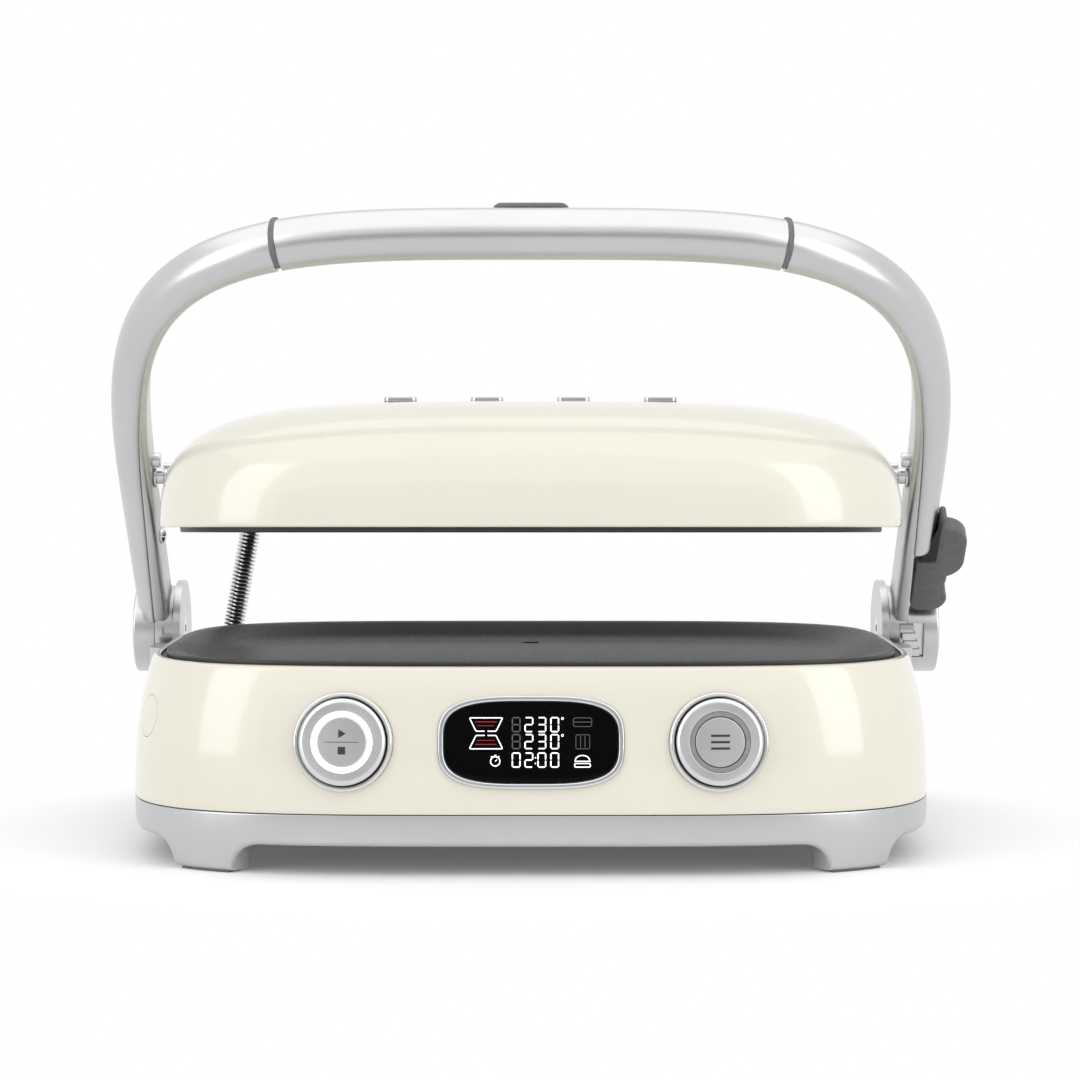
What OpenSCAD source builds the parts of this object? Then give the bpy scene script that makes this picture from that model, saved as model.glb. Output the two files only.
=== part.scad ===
// Electric contact grill: a body on a cast foot ring, a floating lid and a tall arched handle.
// Origin on the table under the middle of the body. Front is -Y, the viewer's right is +X, up is +Z.
// The lid stands at its raised serving position. Millimetres and degrees.

/* [Body] */
// Half width of the body at the seam above the foot ring
body_half_w = 200; // [185:1:215]
// Half depth of the body at the seam
body_half_d = 140; // [132:1:150]
// Squareness of the body's plan, where 2 is an ellipse
corner_power = 4; // [3.4:0.1:5]
// Height of the seam between foot ring and body shell
seam_z = 30; // [27:0.5:34]
// Height of the body shell above the seam
shell_h = 69.5; // [66:0.5:76]
// How far the body shell draws in between seam and rim
shell_draw = 9.3; // [6:0.1:11]
// How late the shell draws in, where 1 is a straight taper
shell_draw_power = 2.6; // [1.6:0.1:3.5]
// Wall of the body shell
shell_wall = 3; // [2.5:0.1:3.5]
// Radius of the rolled rim
rim_round = 3; // [2.4:0.1:3.4]
// Width of the rim, from the outside at the top to the cooking opening
rim_w = 3.3; // [3.1:0.1:4.5]

/* [Foot ring] */
// Height of the foot ring's lower edge over the table
foot_gap = 14.6; // [12:0.2:17]
// Wall of the foot ring
ring_wall = 8; // [7:0.5:9]
// Depth of a foot from its outer face inwards
foot_depth = 14; // [12:0.5:17]
// Height of the rubber pads
pad_h = 1.2; // [0.8:0.1:2]
// Thickness of the bottom cover
cover_t = 2; // [1.6:0.1:3]

/* [Cooking plates] */
// Play between plate rim and cooking opening
plate_play = 3; // [2:0.1:4]
// Height of the lower plate's rim over the shell rim
plate_proud = 1.8; // [1:0.1:3]
// Depth of the lower plate's floor below its rim
plate_depth = 9; // [7:0.5:11]
// Width of the lower plate's sloping surround
plate_slope = 24; // [18:1:30]
// How far the upper plate hangs below the lid's edge
upper_plate_proud = 2.6; // [2:0.1:3.5]
// Width of the border between the lid's edge and the upper plate
upper_plate_border = 10; // [9.5:0.1:12]
// Pitch of the ribs on the upper plate
rib_pitch = 9; // [7:0.5:14]
// Width of one rib
rib_w = 4; // [3:0.5:6]

/* [Lid] */
// Height of the lid
lid_h = 65; // [58:1:70]
// Wall of the lid shell
lid_wall = 3; // [2.5:0.1:3.5]
// Height of the lid's edge over the body rim when it is shut
lid_seat = 5; // [4.8:0.1:7]
// How far the lid's edge stands out beyond the body rim
lid_overhang = 0.7; // [0:0.1:2]
// Height of the lid pivot over the lid's edge
lid_pivot_h = 27.7; // [24:0.1:31]
// Tilt of the raised lid, front up
lid_tilt = 2.62; // [0:0.01:4]
// Radius of the lid's pivot pins
pivot_r = 4.4; // [3.6:0.1:5]

/* [Handle] */
// Angle of the arms above the horizontal at the raised position
arm_angle = 45.4; // [40:0.1:50]
// Distance from the hinge axis to the lid pivot along the arm
arm_pivot_s = 125.8; // [120:0.1:132]
// Distance from the hinge axis to the outside of the handle's arch
arch_reach = 309.5; // [300:0.5:320]
// Distance from the hinge axis at which the arch begins
arch_start = 94.5; // [85:0.5:100]
// Squareness of the arch
arch_power = 3.7; // [3:0.1:4.5]
// Width of the handle section, square to the arch
handle_w = 27.8; // [24:0.2:30]
// Thickness of the arm at the hinge
arm_t = 17.8; // [16:0.1:19]
// Thickness of the grip
grip_t = 19.5; // [18:0.1:21]
// Thickness of the arm's outer band at the hinge
band_t = 9.6; // [8:0.1:11]
// Thickness of the grip's outer band
grip_band_t = 16; // [13:0.1:17]
// Half width of the grip between the two dark rings
grip_half_w = 128; // [110:1:140]
// Width of a dark ring
ring_w = 3; // [2:0.1:5]

/* [Hinge] */
// Height of the hinge axis below the rim
hinge_drop = 3.8; // [2:0.1:6]
// Distance of the hinge axis behind the body at the seam
hinge_behind = 0; // [0:0.5:6]
// Radius of the hinge drums
drum_r = 24.5; // [22:0.5:25]
// Gap between body side and hinge drum
drum_gap = 1.8; // [1.5:0.1:4]
// Width of the inner half of a drum
drum_inner_w = 10.4; // [9.5:0.1:12]
// Width of the outer half of the left drum
drum_left_w = 12.2; // [11:0.1:16]
// Width of the outer half of the right drum
drum_right_w = 17.9; // [14:0.1:20]
// Thickness of the fixed ear beside a drum
ear_t = 4; // [3:0.1:5]
// Radius of the hinge axles
axle_r = 7; // [5:0.1:8]

/* [Controls] */
// Distance of a dial's centre from the middle
dial_x = 89; // [80:1:100]
// Height of the dials and the display
panel_z = 64.5; // [60:0.5:68]
// Outer radius of a dial's bezel
bezel_r = 23.8; // [22.5:0.1:25]
// Radius of a dial
dial_r = 20.6; // [19:0.1:21.2]
// How far a dial stands out of the shell
dial_proud = 5; // [4:0.1:9]
// Radius of the centre button
button_r = 11.8; // [9:0.1:12.2]
// Outer radius of the light ring
light_r = 14.5; // [14:0.1:16]
// Half width of the display bezel
display_half_w = 44; // [38:0.5:50]
// Half height of the display bezel
display_half_h = 22; // [18:0.5:24]
// Radius of the plate release buttons
release_r = 10.3; // [8:0.1:12]

/* [Lead] */
// Radius of the sprung sleeve round the lid's lead
sleeve_r = 6.1; // [5:0.1:6.4]
// Pitch of the sleeve's turns
sleeve_pitch = 2.4; // [2:0.1:4]

/* [Hidden] */
$fn = 48;

CREAM = "#f0ecdc";
SILVER = "#c9cacc";
STEEL = "#d8d9db";
CHARCOAL = "#3b3c3e";
BLACK = "#17181a";
GREY = "#66686b";

// Fits: seat between fixed pieces, running gap on a shaft, and a cut's overshoot
seat = 0.25;
run = 0.05;
over = 1;

// Steps round a plan outline
plan_steps = 64;

rim_z = seam_z + shell_h;
opening_inset = shell_draw + rim_w;
hinge_y = body_half_d + hinge_behind;
hinge_z = rim_z - hinge_drop;
drum_x = body_half_w + drum_gap;
drum_seam_x = drum_x + drum_inner_w;
arch_half_w = drum_seam_x + band_t;
plate_rim_z = rim_z + plate_proud;
plate_inset = opening_inset + plate_play;

// Lid outline, its shut height, and its pivot in the lid's own frame
lid_half_w = body_half_w - shell_draw + lid_overhang;
lid_half_d = body_half_d - shell_draw + lid_overhang;
lid_shut_z = rim_z + lid_seat;
shut_angle = asin((lid_shut_z + lid_pivot_h - hinge_z) / arm_pivot_s);
lid_pivot_y = hinge_y - arm_pivot_s * cos(shut_angle);
upper_half_w = lid_half_w - upper_plate_border;

// ---------- Plan outlines and lofted skins ----------

function signed_power(v, e) = sign(v) * pow(abs(v), e);

// Point of a superellipse with half axes hw and hd and exponent n
function plan_point(a, hw, hd, n) = [hw * signed_power(cos(a), 2 / n), hd * signed_power(sin(a), 2 / n)];

function plan_outline(hw, hd, n = corner_power, steps = plan_steps) =
    [for (i = [0 : steps - 1]) plan_point(360 * i / steps, hw, hd, n)];

function plan_ring(hw, hd, z, n = corner_power, steps = plan_steps) =
    [for (p = plan_outline(hw, hd, n, steps)) [p[0], p[1], z]];

// Half depth of the plan at x
function plan_y(x, hw, hd, n = corner_power) = hd * pow(1 - pow(abs(x) / hw, n), 1 / n);

// Direction of the plan's outward normal at a point on it
function plan_azimuth(x, y, hw, hd, n = corner_power) =
    atan2(signed_power(y, n - 1) / pow(hd, n), signed_power(x, n - 1) / pow(hw, n));

// Joins rings of points, each with the same count. A looped skin closes on its first ring, an open one is capped.
module skin(rings, loop = false) {
    m = len(rings);
    n = len(rings[0]);
    sides = [
        for (k = [0 : (loop ? m - 1 : m - 2)], i = [0 : n - 1])
            let (a = k * n, b = ((k + 1) % m) * n, j = (i + 1) % n)
                [a + i, b + i, b + j, a + j]
    ];
    caps = loop ? [] : [[for (i = [0 : n - 1]) i], [for (i = [n - 1 : -1 : 0]) (m - 1) * n + i]];
    polyhedron(points = [for (r = rings) each r], faces = concat(sides, caps), convexity = 8);
}

// A flat ring or, without an inner inset, a flat plate that follows the body's plan
module plan_prism(z0, z1, inset, inner_inset = undef) {
    translate([0, 0, z0]) linear_extrude(z1 - z0) difference() {
        polygon(plan_outline(body_half_w - inset, body_half_d - inset));
        if (!is_undef(inner_inset))
            polygon(plan_outline(body_half_w - inner_inset, body_half_d - inner_inset));
    }
}

// Disc or tube about +Z between two heights
module disc(r, z0, z1) {
    translate([0, 0, z0]) cylinder(r = r, h = z1 - z0);
}

module tube(r, bore, z0, z1) {
    difference() {
        disc(r, z0, z1);
        disc(bore, z0 - over, z1 + over);
    }
}

// Rounded bar in plan, centred, between two heights
module slot_bar(length, width, z0, z1) {
    translate([0, 0, z0]) linear_extrude(z1 - z0) {
        square([length - width, width], center = true);
        for (side = [-1, 1]) translate([side * (length - width) / 2, 0]) circle(d = width);
    }
}

// ---------- Body shell ----------

function draw_in(z) = shell_draw * pow(max(0, z - seam_z) / shell_h, shell_draw_power);
function lean(z) = atan(shell_draw * shell_draw_power / shell_h
    * pow(max(0, z - seam_z) / shell_h, shell_draw_power - 1));

function shell_ring(inset, z) = plan_ring(body_half_w - inset, body_half_d - inset, z);

side_levels = 6;
shell_side = [for (k = [0 : side_levels]) seam_z + k * (shell_h - rim_round) / side_levels];

// Solid inside the shell's outer face, grown by an amount, between two of its levels
module shell_form(grow, from = 0, to = side_levels) {
    skin([for (k = [from : to]) shell_ring(draw_in(shell_side[k]) - grow, shell_side[k])]);
}

// Places children on the shell's front face: local +Z points out of the face
module on_front(x, z) {
    y = plan_y(x, body_half_w - draw_in(z), body_half_d - draw_in(z));
    yaw = 90 + plan_azimuth(x, -y, body_half_w, body_half_d);
    translate([x, -y, z]) rotate([0, 0, yaw]) rotate([90 - lean(z), 0, 0]) children();
}

// Lower release button: a point on the left front corner
release_z = seam_z + 42;
release_y = -0.65 * body_half_d;
module on_left_side() {
    inset = draw_in(release_z);
    hw = body_half_w - inset;
    hd = body_half_d - inset;
    x = -hw * pow(1 - pow(abs(release_y) / hd, corner_power), 1 / corner_power);
    azimuth = plan_azimuth(x, release_y, hw, hd);
    translate([x, release_y, release_z]) rotate([0, 90 - lean(release_z), azimuth]) children();
}

panel_seat = 1.3;
bezel_hub_r = bezel_r - 1.9;
display_hub = 1.4;
display_power = 3.4;
tray_half_w = 85;
tray_z0 = seam_z + 4;
tray_z1 = tray_z0 + 16;
mains_x = 130;
mains_z = seam_z + 16;

module display_prism(inset, z0, z1) {
    translate([0, 0, z0]) linear_extrude(z1 - z0)
        polygon(plan_outline(display_half_w - inset, display_half_h - inset, display_power, 60));
}

module on_rear(x, z) {
    mirror([0, 1, 0]) on_front(x, z) children();
}

module lower_shell() {
    outer = [for (z = shell_side) shell_ring(draw_in(z), z)];
    roll = draw_in(rim_z - rim_round);
    rim = [for (t = [30, 60, 90]) shell_ring(roll + rim_round * (1 - cos(t)), rim_z - rim_round * (1 - sin(t)))];
    lip = [shell_ring(opening_inset, rim_z), shell_ring(opening_inset, rim_z - rim_round)];
    inner = [for (k = [0 : 4]) let (z = rim_z - 2 * rim_round - k * (shell_h - 2 * rim_round) / 4)
        shell_ring(draw_in(z) + shell_wall, z)];
    color(CREAM) difference() {
        skin(concat(outer, rim, lip, inner), loop = true);
        for (side = [-1, 1]) on_front(side * dial_x, panel_z) {
            disc(bezel_r + seat, -panel_seat, 4);
            disc(bezel_hub_r + seat, -4 * shell_wall, 0);
        }
        on_front(0, panel_z) {
            display_prism(-seat, -panel_seat, 4);
            display_prism(display_hub - seat, -4 * shell_wall, 0);
        }
        on_left_side() disc(release_r + seat, -4 * shell_wall, 6);
        translate([-tray_half_w - seat, 0, tray_z0 - seat])
            cube([2 * (tray_half_w + seat), body_half_d + over, tray_z1 - tray_z0 + 2 * seat]);
        on_rear(mains_x, mains_z) disc(7 + seat, -3 * shell_wall, 6);
    }
}

// ---------- Foot ring ----------

// A foot stands between two plan angles of each quadrant, with a hollow fillet on either side
foot_from = 40;
foot_to = 58;
fillet_turn = 7;
ring_lip = 3.6;
foot_taper = 2.2;
quadrant = concat([0, 14, 26], [for (a = [32 : 2 : 66]) a], [76]);

// Share of the foot's height at a plan angle: 1 on the foot, 0 on the ring between the feet
function foot_share(a) =
    let (
        q = a % 180 > 90 ? 180 - a % 180 : a % 180,
        off = max(foot_from - q, q - foot_to, 0) / fillet_turn
    ) off >= 1 ? 0 : 1 - sqrt(max(0, 1 - pow(1 - off, 2)));

// All plan angles of the ring in order: the quadrant's samples, mirrored into the others
half_turn = concat(quadrant, [90], [for (i = [len(quadrant) - 1 : -1 : 1]) 180 - quadrant[i]]);
ring_angles = concat(half_turn, [for (a = half_turn) a + 180]);

// One cross-section of the ring wall at plan angle a: down the outside, across the foot, and up the inside
function ring_section(a) =
    let (
        share = foot_share(a),
        low = foot_gap + (pad_h - foot_gap) * share,
        depth = ring_wall + ring_lip + (foot_depth - ring_wall - ring_lip) * share,
        taper = 0.8 + foot_taper * share,
        top = seam_z - seat,
        shelf = foot_gap + ring_lip
    ) [
        for (p = [
            [0, top], [0.3, foot_gap + 4], [taper, low + 1.6], [taper + 1.4, low],
            [depth - 0.8, low], [depth, low + 0.8], [depth, shelf], [ring_wall, shelf], [ring_wall, top]
        ]) let (q = plan_point(a, body_half_w - p[0], body_half_d - p[0], corner_power)) [q[0], q[1], p[1]]
    ];

module base_frame() {
    color(SILVER) skin([for (a = ring_angles) ring_section(a)], loop = true);
}

// Plan strip along the ring between two angles and two insets
function strip_outline(a0, a1, outer, inner) = concat(
    [for (t = [0 : 6]) plan_point(a0 + (a1 - a0) * t / 6, body_half_w - outer, body_half_d - outer, corner_power)],
    [for (t = [6 : -1 : 0]) plan_point(a0 + (a1 - a0) * t / 6, body_half_w - inner, body_half_d - inner, corner_power)]
);

module foot_pads() {
    color(GREY) for (mx = [0, 1], my = [0, 1]) mirror([mx, 0, 0]) mirror([0, my, 0])
        linear_extrude(pad_h) polygon(strip_outline(foot_from + 1.5, foot_to - 1.5, 5, foot_depth - 2));
}

cover_z = foot_gap + ring_lip + seat;
cover_screw_spots = [for (mx = [-1, 1], my = [-1, 1]) [mx * 0.62 * body_half_w, my * 0.62 * body_half_d]];
module bottom_cover() {
    inset = ring_wall + seat;
    color(BLACK) difference() {
        union() {
            translate([0, 0, cover_z]) linear_extrude(cover_t) polygon([
                for (a = ring_angles) plan_point(a, body_half_w - inset, body_half_d - inset, corner_power)
            ]);
            for (s = cover_screw_spots) translate(s) disc(6, cover_z, cover_z + 12);
        }
        for (s = cover_screw_spots) translate([s[0], s[1], 0]) {
            disc(2, cover_z - over, cover_z + 13);
            disc(4.2, cover_z - over, cover_z + 1);
        }
        for (row = [-2 : 2], side = [-1, 1]) translate([side * 0.28 * body_half_w, 14 * row])
            slot_bar(60, 5, cover_z - over, cover_z + cover_t + over);
    }
}

module cover_screws() {
    color(STEEL) for (s = cover_screw_spots) translate([s[0], s[1], 0]) {
        disc(4, cover_z - 0.6, cover_z + 0.9);
        disc(1.9, cover_z + 0.9, cover_z + 11);
    }
}

// ---------- Heating and cooking ----------

frame_top = rim_z - 1.4;
frame_skirt_in = plate_inset + 6.5;
frame_foot_z = rim_z - 34;
module plate_frame() {
    color(BLACK) {
        plan_prism(frame_top - 3, frame_top, opening_inset + seat, frame_skirt_in + 3);
        plan_prism(frame_foot_z, frame_top - 3, frame_skirt_in, frame_skirt_in + 3);
        plan_prism(frame_foot_z, frame_foot_z + 2, frame_skirt_in + 3, frame_skirt_in + 10);
    }
}

pan_in = frame_skirt_in + 4;
plate_floor_z = plate_rim_z - plate_depth;
plate_under_z = plate_floor_z - 5;
drain_y = 0.6 * body_half_d;
drain_r = 5;
spout_r = 7;
function plate_ring(inset, z) = plan_ring(body_half_w - plate_inset - inset, body_half_d - plate_inset - inset, z);
module lower_plate() {
    pan = pan_in - plate_inset;
    color(CHARCOAL) difference() {
        union() {
            skin([
                plate_ring(pan + 3, plate_under_z), plate_ring(pan, plate_under_z + 3),
                plate_ring(pan, frame_top + seat), plate_ring(0.6, frame_top + seat), plate_ring(0, frame_top + 0.9),
                plate_ring(0, plate_rim_z - 0.8), plate_ring(0.8, plate_rim_z), plate_ring(3.2, plate_rim_z),
                plate_ring(6, plate_rim_z - 1), plate_ring(plate_slope - 4, plate_floor_z + 1.6),
                plate_ring(plate_slope, plate_floor_z + 0.3), plate_ring(plate_slope + 4, plate_floor_z)
            ]);
            translate([0, drain_y, 0]) disc(spout_r, tray_z1 + 8, plate_under_z + 2);
        }
        translate([0, drain_y, 0]) disc(drain_r, tray_z1, plate_rim_z);
    }
}

heater_r = 3.4;
heater_turn = 26;
// Sheathed heating element: two round-cornered loops side by side, lying in the plane z = 0
module heater_loop(half_w, half_d) {
    for (sx = [-1, 1]) {
        for (sy = [-1, 1]) translate([sx * (half_w - heater_turn), sy * (half_d - heater_turn), 0])
            rotate([0, 0, sx > 0 ? (sy > 0 ? 0 : 270) : (sy > 0 ? 90 : 180)])
                rotate_extrude(angle = 90) translate([heater_turn, 0]) circle(r = heater_r);
        translate([sx * half_w, half_d - heater_turn, 0]) rotate([90, 0, 0])
            cylinder(r = heater_r, h = 2 * (half_d - heater_turn));
    }
    for (sy = [-1, 1]) translate([heater_turn - half_w, sy * half_d, 0]) rotate([0, 90, 0])
        cylinder(r = heater_r, h = 2 * (half_w - heater_turn));
}

lower_heater_z = plate_under_z - seat - heater_r;
module lower_heater() {
    color(STEEL) translate([0, 0, lower_heater_z]) heater_loop(0.66 * body_half_w, 0.4 * body_half_d);
}

lower_reflector_z = frame_foot_z + 2 + seat;
module lower_reflector() {
    reflector_in = frame_skirt_in + 3 + seat;
    color(STEEL) difference() {
        union() {
            plan_prism(lower_reflector_z, lower_reflector_z + 1.2, reflector_in);
            for (x = [-1, 1]) translate([x * 0.45 * body_half_w - 3, -0.4 * body_half_d - 4, lower_reflector_z + 1.2])
                cube([6, 0.8 * body_half_d + 8, lower_heater_z - heater_r - seat - lower_reflector_z - 1.2]);
        }
        translate([0, drain_y, 0]) disc(spout_r + 3, lower_reflector_z - over, lower_reflector_z + 3);
    }
}

module lower_thermostat() {
    color(SILVER) {
        disc(9, plate_under_z - 6, plate_under_z - seat);
        disc(5, lower_reflector_z + 1.2 + seat, plate_under_z - 6);
    }
}

tray_depth = 116;
tray_wall = 2;
module drip_tray() {
    front_y = body_half_d - tray_depth;
    rear_inset = shell_wall + 3;
    color(BLACK) {
        difference() {
            translate([-tray_half_w, front_y, tray_z0])
                cube([2 * tray_half_w, tray_depth - rear_inset - 8, tray_z1 - tray_z0 - 2]);
            translate([-tray_half_w + tray_wall, front_y + tray_wall, tray_z0 + tray_wall])
                cube([2 * (tray_half_w - tray_wall), tray_depth - rear_inset - 8 - 2 * tray_wall, tray_z1]);
        }
        intersection() {
            shell_form(0, 0, 2);
            difference() {
                translate([-tray_half_w, body_half_d - rear_inset - 8, tray_z0])
                    cube([2 * tray_half_w, 30, tray_z1 - tray_z0]);
                translate([-40, body_half_d - 5, tray_z0 - over]) cube([80, 30, 7]);
            }
        }
    }
}

// ---------- Display and electronics ----------

module display_bezel() {
    color(STEEL) on_front(0, panel_z) difference() {
        union() {
            display_prism(0.6, 0.7, 1.3);
            display_prism(0, -panel_seat + seat, 0.7);
            display_prism(display_hub, -5, -panel_seat + seat);
        }
        display_prism(2.5, -3, 2);
        display_prism(4.6, -6, 2);
    }
}

module display_lens() {
    color(BLACK) on_front(0, panel_z) display_prism(2.5 + seat, -2.9, -0.4);
}

encoder_back = 13.4;
encoder_neck = 8;
board_z = encoder_back + 2.2;
board_t = 1.6;
module control_board() {
    board_w = 2 * (dial_x + 14);
    color("#2f6b45") on_front(0, panel_z) {
        translate([-board_w / 2, -20, -board_z - board_t]) cube([board_w, 40, board_t]);
        translate([-34, -14.5, -board_z]) cube([68, 29, board_z - 5.5]);
    }
}

power_board_w = 0.55 * body_half_w;
power_board_d = 0.5 * body_half_d;
power_board_lift = 8;
post_in = 6;
// Supply board on four posts, with a transformer, a relay and a capacitor
module power_board() {
    z0 = cover_z + cover_t;
    top = power_board_lift + board_t;
    color("#2f6b45") translate([-0.65 * body_half_w, -0.43 * body_half_d, z0]) {
        translate([0, 0, power_board_lift]) cube([power_board_w, power_board_d, board_t]);
        for (x = [post_in, power_board_w - post_in], y = [post_in, power_board_d - post_in])
            translate([x, y, 0]) disc(post_in / 2, seat, power_board_lift);
        translate([18, 16, top]) cube([30, 26, 14]);
        translate([64, 14, top]) cube([18, 14, 12]);
        translate([72, 44, top]) disc(7, 0, 14);
    }
}

module dial_bezel() {
    color(STEEL) rotate_extrude($fn = 96) polygon([
        [dial_r + 0.4, -9], [bezel_hub_r, -9], [bezel_hub_r, -panel_seat + 0.1], [bezel_r, -panel_seat + 0.1],
        [bezel_r, 0.9], [bezel_r - 0.6, 1.9], [bezel_r - 1.5, 2.2], [dial_r + 0.9, 1.7], [dial_r + 0.4, 0.6]
    ]);
}

dial_floor = 2;
shaft_r = 5;
stem_r = 2.9;
ring_gap = 0.15;
module dial() {
    color(SILVER) rotate_extrude($fn = 96) polygon([
        [shaft_r + run, -3], [dial_r, -3], [dial_r, dial_proud - 1.5], [dial_r - 0.4, dial_proud - 0.5],
        [dial_r - 1.4, dial_proud], [light_r + 0.5, dial_proud], [light_r + run, dial_proud - 0.4],
        [light_r + run, -3 + dial_floor], [shaft_r + run, -3 + dial_floor]
    ]);
}

module light_ring() {
    color("white") tube(light_r, button_r + ring_gap + 0.2, -3 + dial_floor, dial_proud - 0.5);
}

module push_button() {
    color(SILVER) rotate_extrude($fn = 96) polygon([
        [0, -7], [stem_r, -7], [stem_r, dial_proud - 2.6], [button_r, dial_proud - 2.6],
        [button_r, dial_proud - 0.9], [button_r - 0.4, dial_proud - 0.5], [0, dial_proud - 0.5]
    ]);
}

module encoder() {
    color(BLACK) difference() {
        union() {
            disc(shaft_r, -encoder_neck, -1.6);
            translate([-8, -8, -encoder_back]) cube([16, 16, encoder_back - encoder_neck]);
        }
        disc(stem_r + run, -12, 0);
    }
}

module start_bezel() { on_front(-dial_x, panel_z) dial_bezel(); }
module menu_bezel() { on_front(dial_x, panel_z) dial_bezel(); }
module start_dial() { on_front(-dial_x, panel_z) dial(); }
module menu_dial() { on_front(dial_x, panel_z) dial(); }
module start_light_ring() { on_front(-dial_x, panel_z) light_ring(); }
module menu_light_ring() { on_front(dial_x, panel_z) light_ring(); }
module start_button() { on_front(-dial_x, panel_z) push_button(); }
module menu_button() { on_front(dial_x, panel_z) push_button(); }
module start_encoder() { on_front(-dial_x, panel_z) encoder(); }
module menu_encoder() { on_front(dial_x, panel_z) encoder(); }

// Release button: its face is cut from the shell's own outer form
module lower_release() {
    color(CREAM) {
        intersection() {
            shell_form(0, 2, 6);
            on_left_side() disc(release_r, -4, 6);
        }
        on_left_side() disc(4.5, -11.5, -4);
    }
}

module mains_gland() {
    color(BLACK) on_rear(mains_x, mains_z) difference() {
        union() {
            disc(7, -9, 0);
            disc(9.5, 1, 4);
            disc(7, 0, 6);
        }
        disc(3.6, -4, 8);
    }
}

// ---------- Hinge ----------

bracket_hold = 38;
bracket_length = 84.5;
bracket_corner = 12;
bracket_x0 = body_half_w - bracket_hold;
bracket_x1 = drum_x + drum_inner_w - 1.7;
bracket_y1 = hinge_y + drum_r - 6;
bracket_y0 = bracket_y1 - bracket_length;
bracket_z0 = seam_z + 3;
bracket_top = hinge_z - axle_r + 1.3;
ear_r = drum_r + 3;
ear_gap = 0.3;
saddle_r = drum_r + 6.5;

// Lies a shape along +X from a distance, on the hinge axis
module on_hinge(x) {
    translate([x, hinge_y, hinge_z]) rotate([0, 90, 0]) children();
}

// Fixed bracket beside the body: a rounded block that hugs the shell, with a round ear for the axle
module hinge_bracket() {
    corner = bracket_corner;
    difference() {
        union() {
            translate([0, 0, bracket_z0]) linear_extrude(bracket_top - bracket_z0) {
                translate([bracket_x0, bracket_y0 + corner])
                    square([bracket_x1 - bracket_x0, bracket_y1 - bracket_y0 - 2 * corner]);
                translate([bracket_x0 + corner, bracket_y0])
                    square([bracket_x1 - bracket_x0 - 2 * corner, bracket_y1 - bracket_y0]);
                for (x = [bracket_x0 + corner, bracket_x1 - corner], y = [bracket_y0 + corner, bracket_y1 - corner])
                    translate([x, y]) circle(r = corner);
            }
            on_hinge(drum_x - ear_gap - ear_t) cylinder(r = ear_r, h = ear_t, $fn = 96);
        }
        shell_form(seat);
        on_hinge(drum_x - ear_gap) cylinder(r = saddle_r, h = bracket_x1, $fn = 96);
        on_hinge(bracket_x0) cylinder(r = axle_r + run, h = bracket_x1);
    }
}

lead_x = -bracket_x0 - 10;
lead_y = hinge_y + 3;
lead_hole_r = sleeve_r + 1.3;
lead_hole_h = 14;
module hinge_bracket_left() {
    color(SILVER) difference() {
        mirror([1, 0, 0]) hinge_bracket();
        translate([lead_x, lead_y, 0]) disc(lead_hole_r, bracket_top - lead_hole_h, bracket_top + over);
    }
}
module hinge_bracket_right() { color(SILVER) hinge_bracket(); }

module hinge_axle() {
    color(STEEL) on_hinge(drum_x - ear_gap - ear_t) difference() {
        cylinder(r = axle_r, h = ear_t + drum_inner_w + 6);
        translate([0, 0, -over]) cylinder(r = 2.5, h = 3 + over, $fn = 6);
    }
}
module hinge_axle_left() { mirror([1, 0, 0]) hinge_axle(); }
module hinge_axle_right() { hinge_axle(); }

// Hinge drum on the arm: a round body with a seam line, a blind bore for the axle and a ring groove on its end
module drum(outer_w) {
    w = drum_inner_w + outer_w;
    bore = drum_inner_w + 7;
    on_hinge(drum_x) rotate_extrude($fn = 96) polygon([
        [axle_r + run, 0], [drum_r - 0.6, 0], [drum_r, 0.6], [drum_r, drum_inner_w - 0.3],
        [drum_r - 0.4, drum_inner_w], [drum_r, drum_inner_w + 0.3], [drum_r, w - 1.2], [drum_r - 1.2, w],
        [18, w], [17.6, w - 0.5], [17.2, w], [0, w], [0, bore], [axle_r + run, bore]
    ]);
}

// Children at the front of a drum: local +X along the axis, +Y up its face, +Z out of it
module on_drum_front(below) {
    translate([0, hinge_y, hinge_z]) rotate([90 + below, 0, 0]) children();
}

cam_x = drum_seam_x - 4.6;
cam_turn = 13;
cam_floor = drum_r - 6.5;
cam_w = 14;
cam_l = 20;
cam_play = 0.2;
module hinge_drum_left() {
    color(SILVER) difference() {
        mirror([1, 0, 0]) drum(drum_left_w);
        on_drum_front(-1) translate([-drum_x - 6, -2, drum_r - 3]) cube([6 + over, 4, 6]);
    }
}
module hinge_drum_right() {
    color(SILVER) difference() {
        drum(drum_right_w);
        on_drum_front(cam_turn) translate([cam_x, -cam_l / 2, cam_floor]) cube([cam_w, cam_l, 12]);
    }
}

// Stepped height cam: three treads that shift sideways as they go down
module height_cam() {
    color(STEEL) intersection() {
        on_hinge(drum_x) cylinder(r = drum_r - cam_play, h = drum_inner_w + drum_right_w, $fn = 96);
        on_drum_front(cam_turn) translate([cam_x, 0, cam_floor]) {
            translate([run, cam_play - cam_l / 2, run]) cube([cam_w - cam_play, cam_l - 2 * cam_play, 1.6]);
            for (k = [0 : 3])
                translate([0.4 + 1.3 * k, cam_l / 4 - 0.24 * cam_l * k, 1.6])
                    cube([7.6, cam_l / 5, 4.2 - 0.5 * k]);
        }
    }
}

// ---------- Arms and handle ----------

// The arm's own frame: x across, s along the arm from the hinge axis, h square to both, up when shut
module in_arm() {
    translate([0, hinge_y, hinge_z]) rotate([-arm_angle, 0, 0]) children();
}
// A disc along x at a place on the arm
module arm_rod(s, r, x0, x1, h = 0) {
    in_arm() translate([x0, -s, h]) rotate([0, 90, 0]) cylinder(r = r, h = x1 - x0);
}

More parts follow.
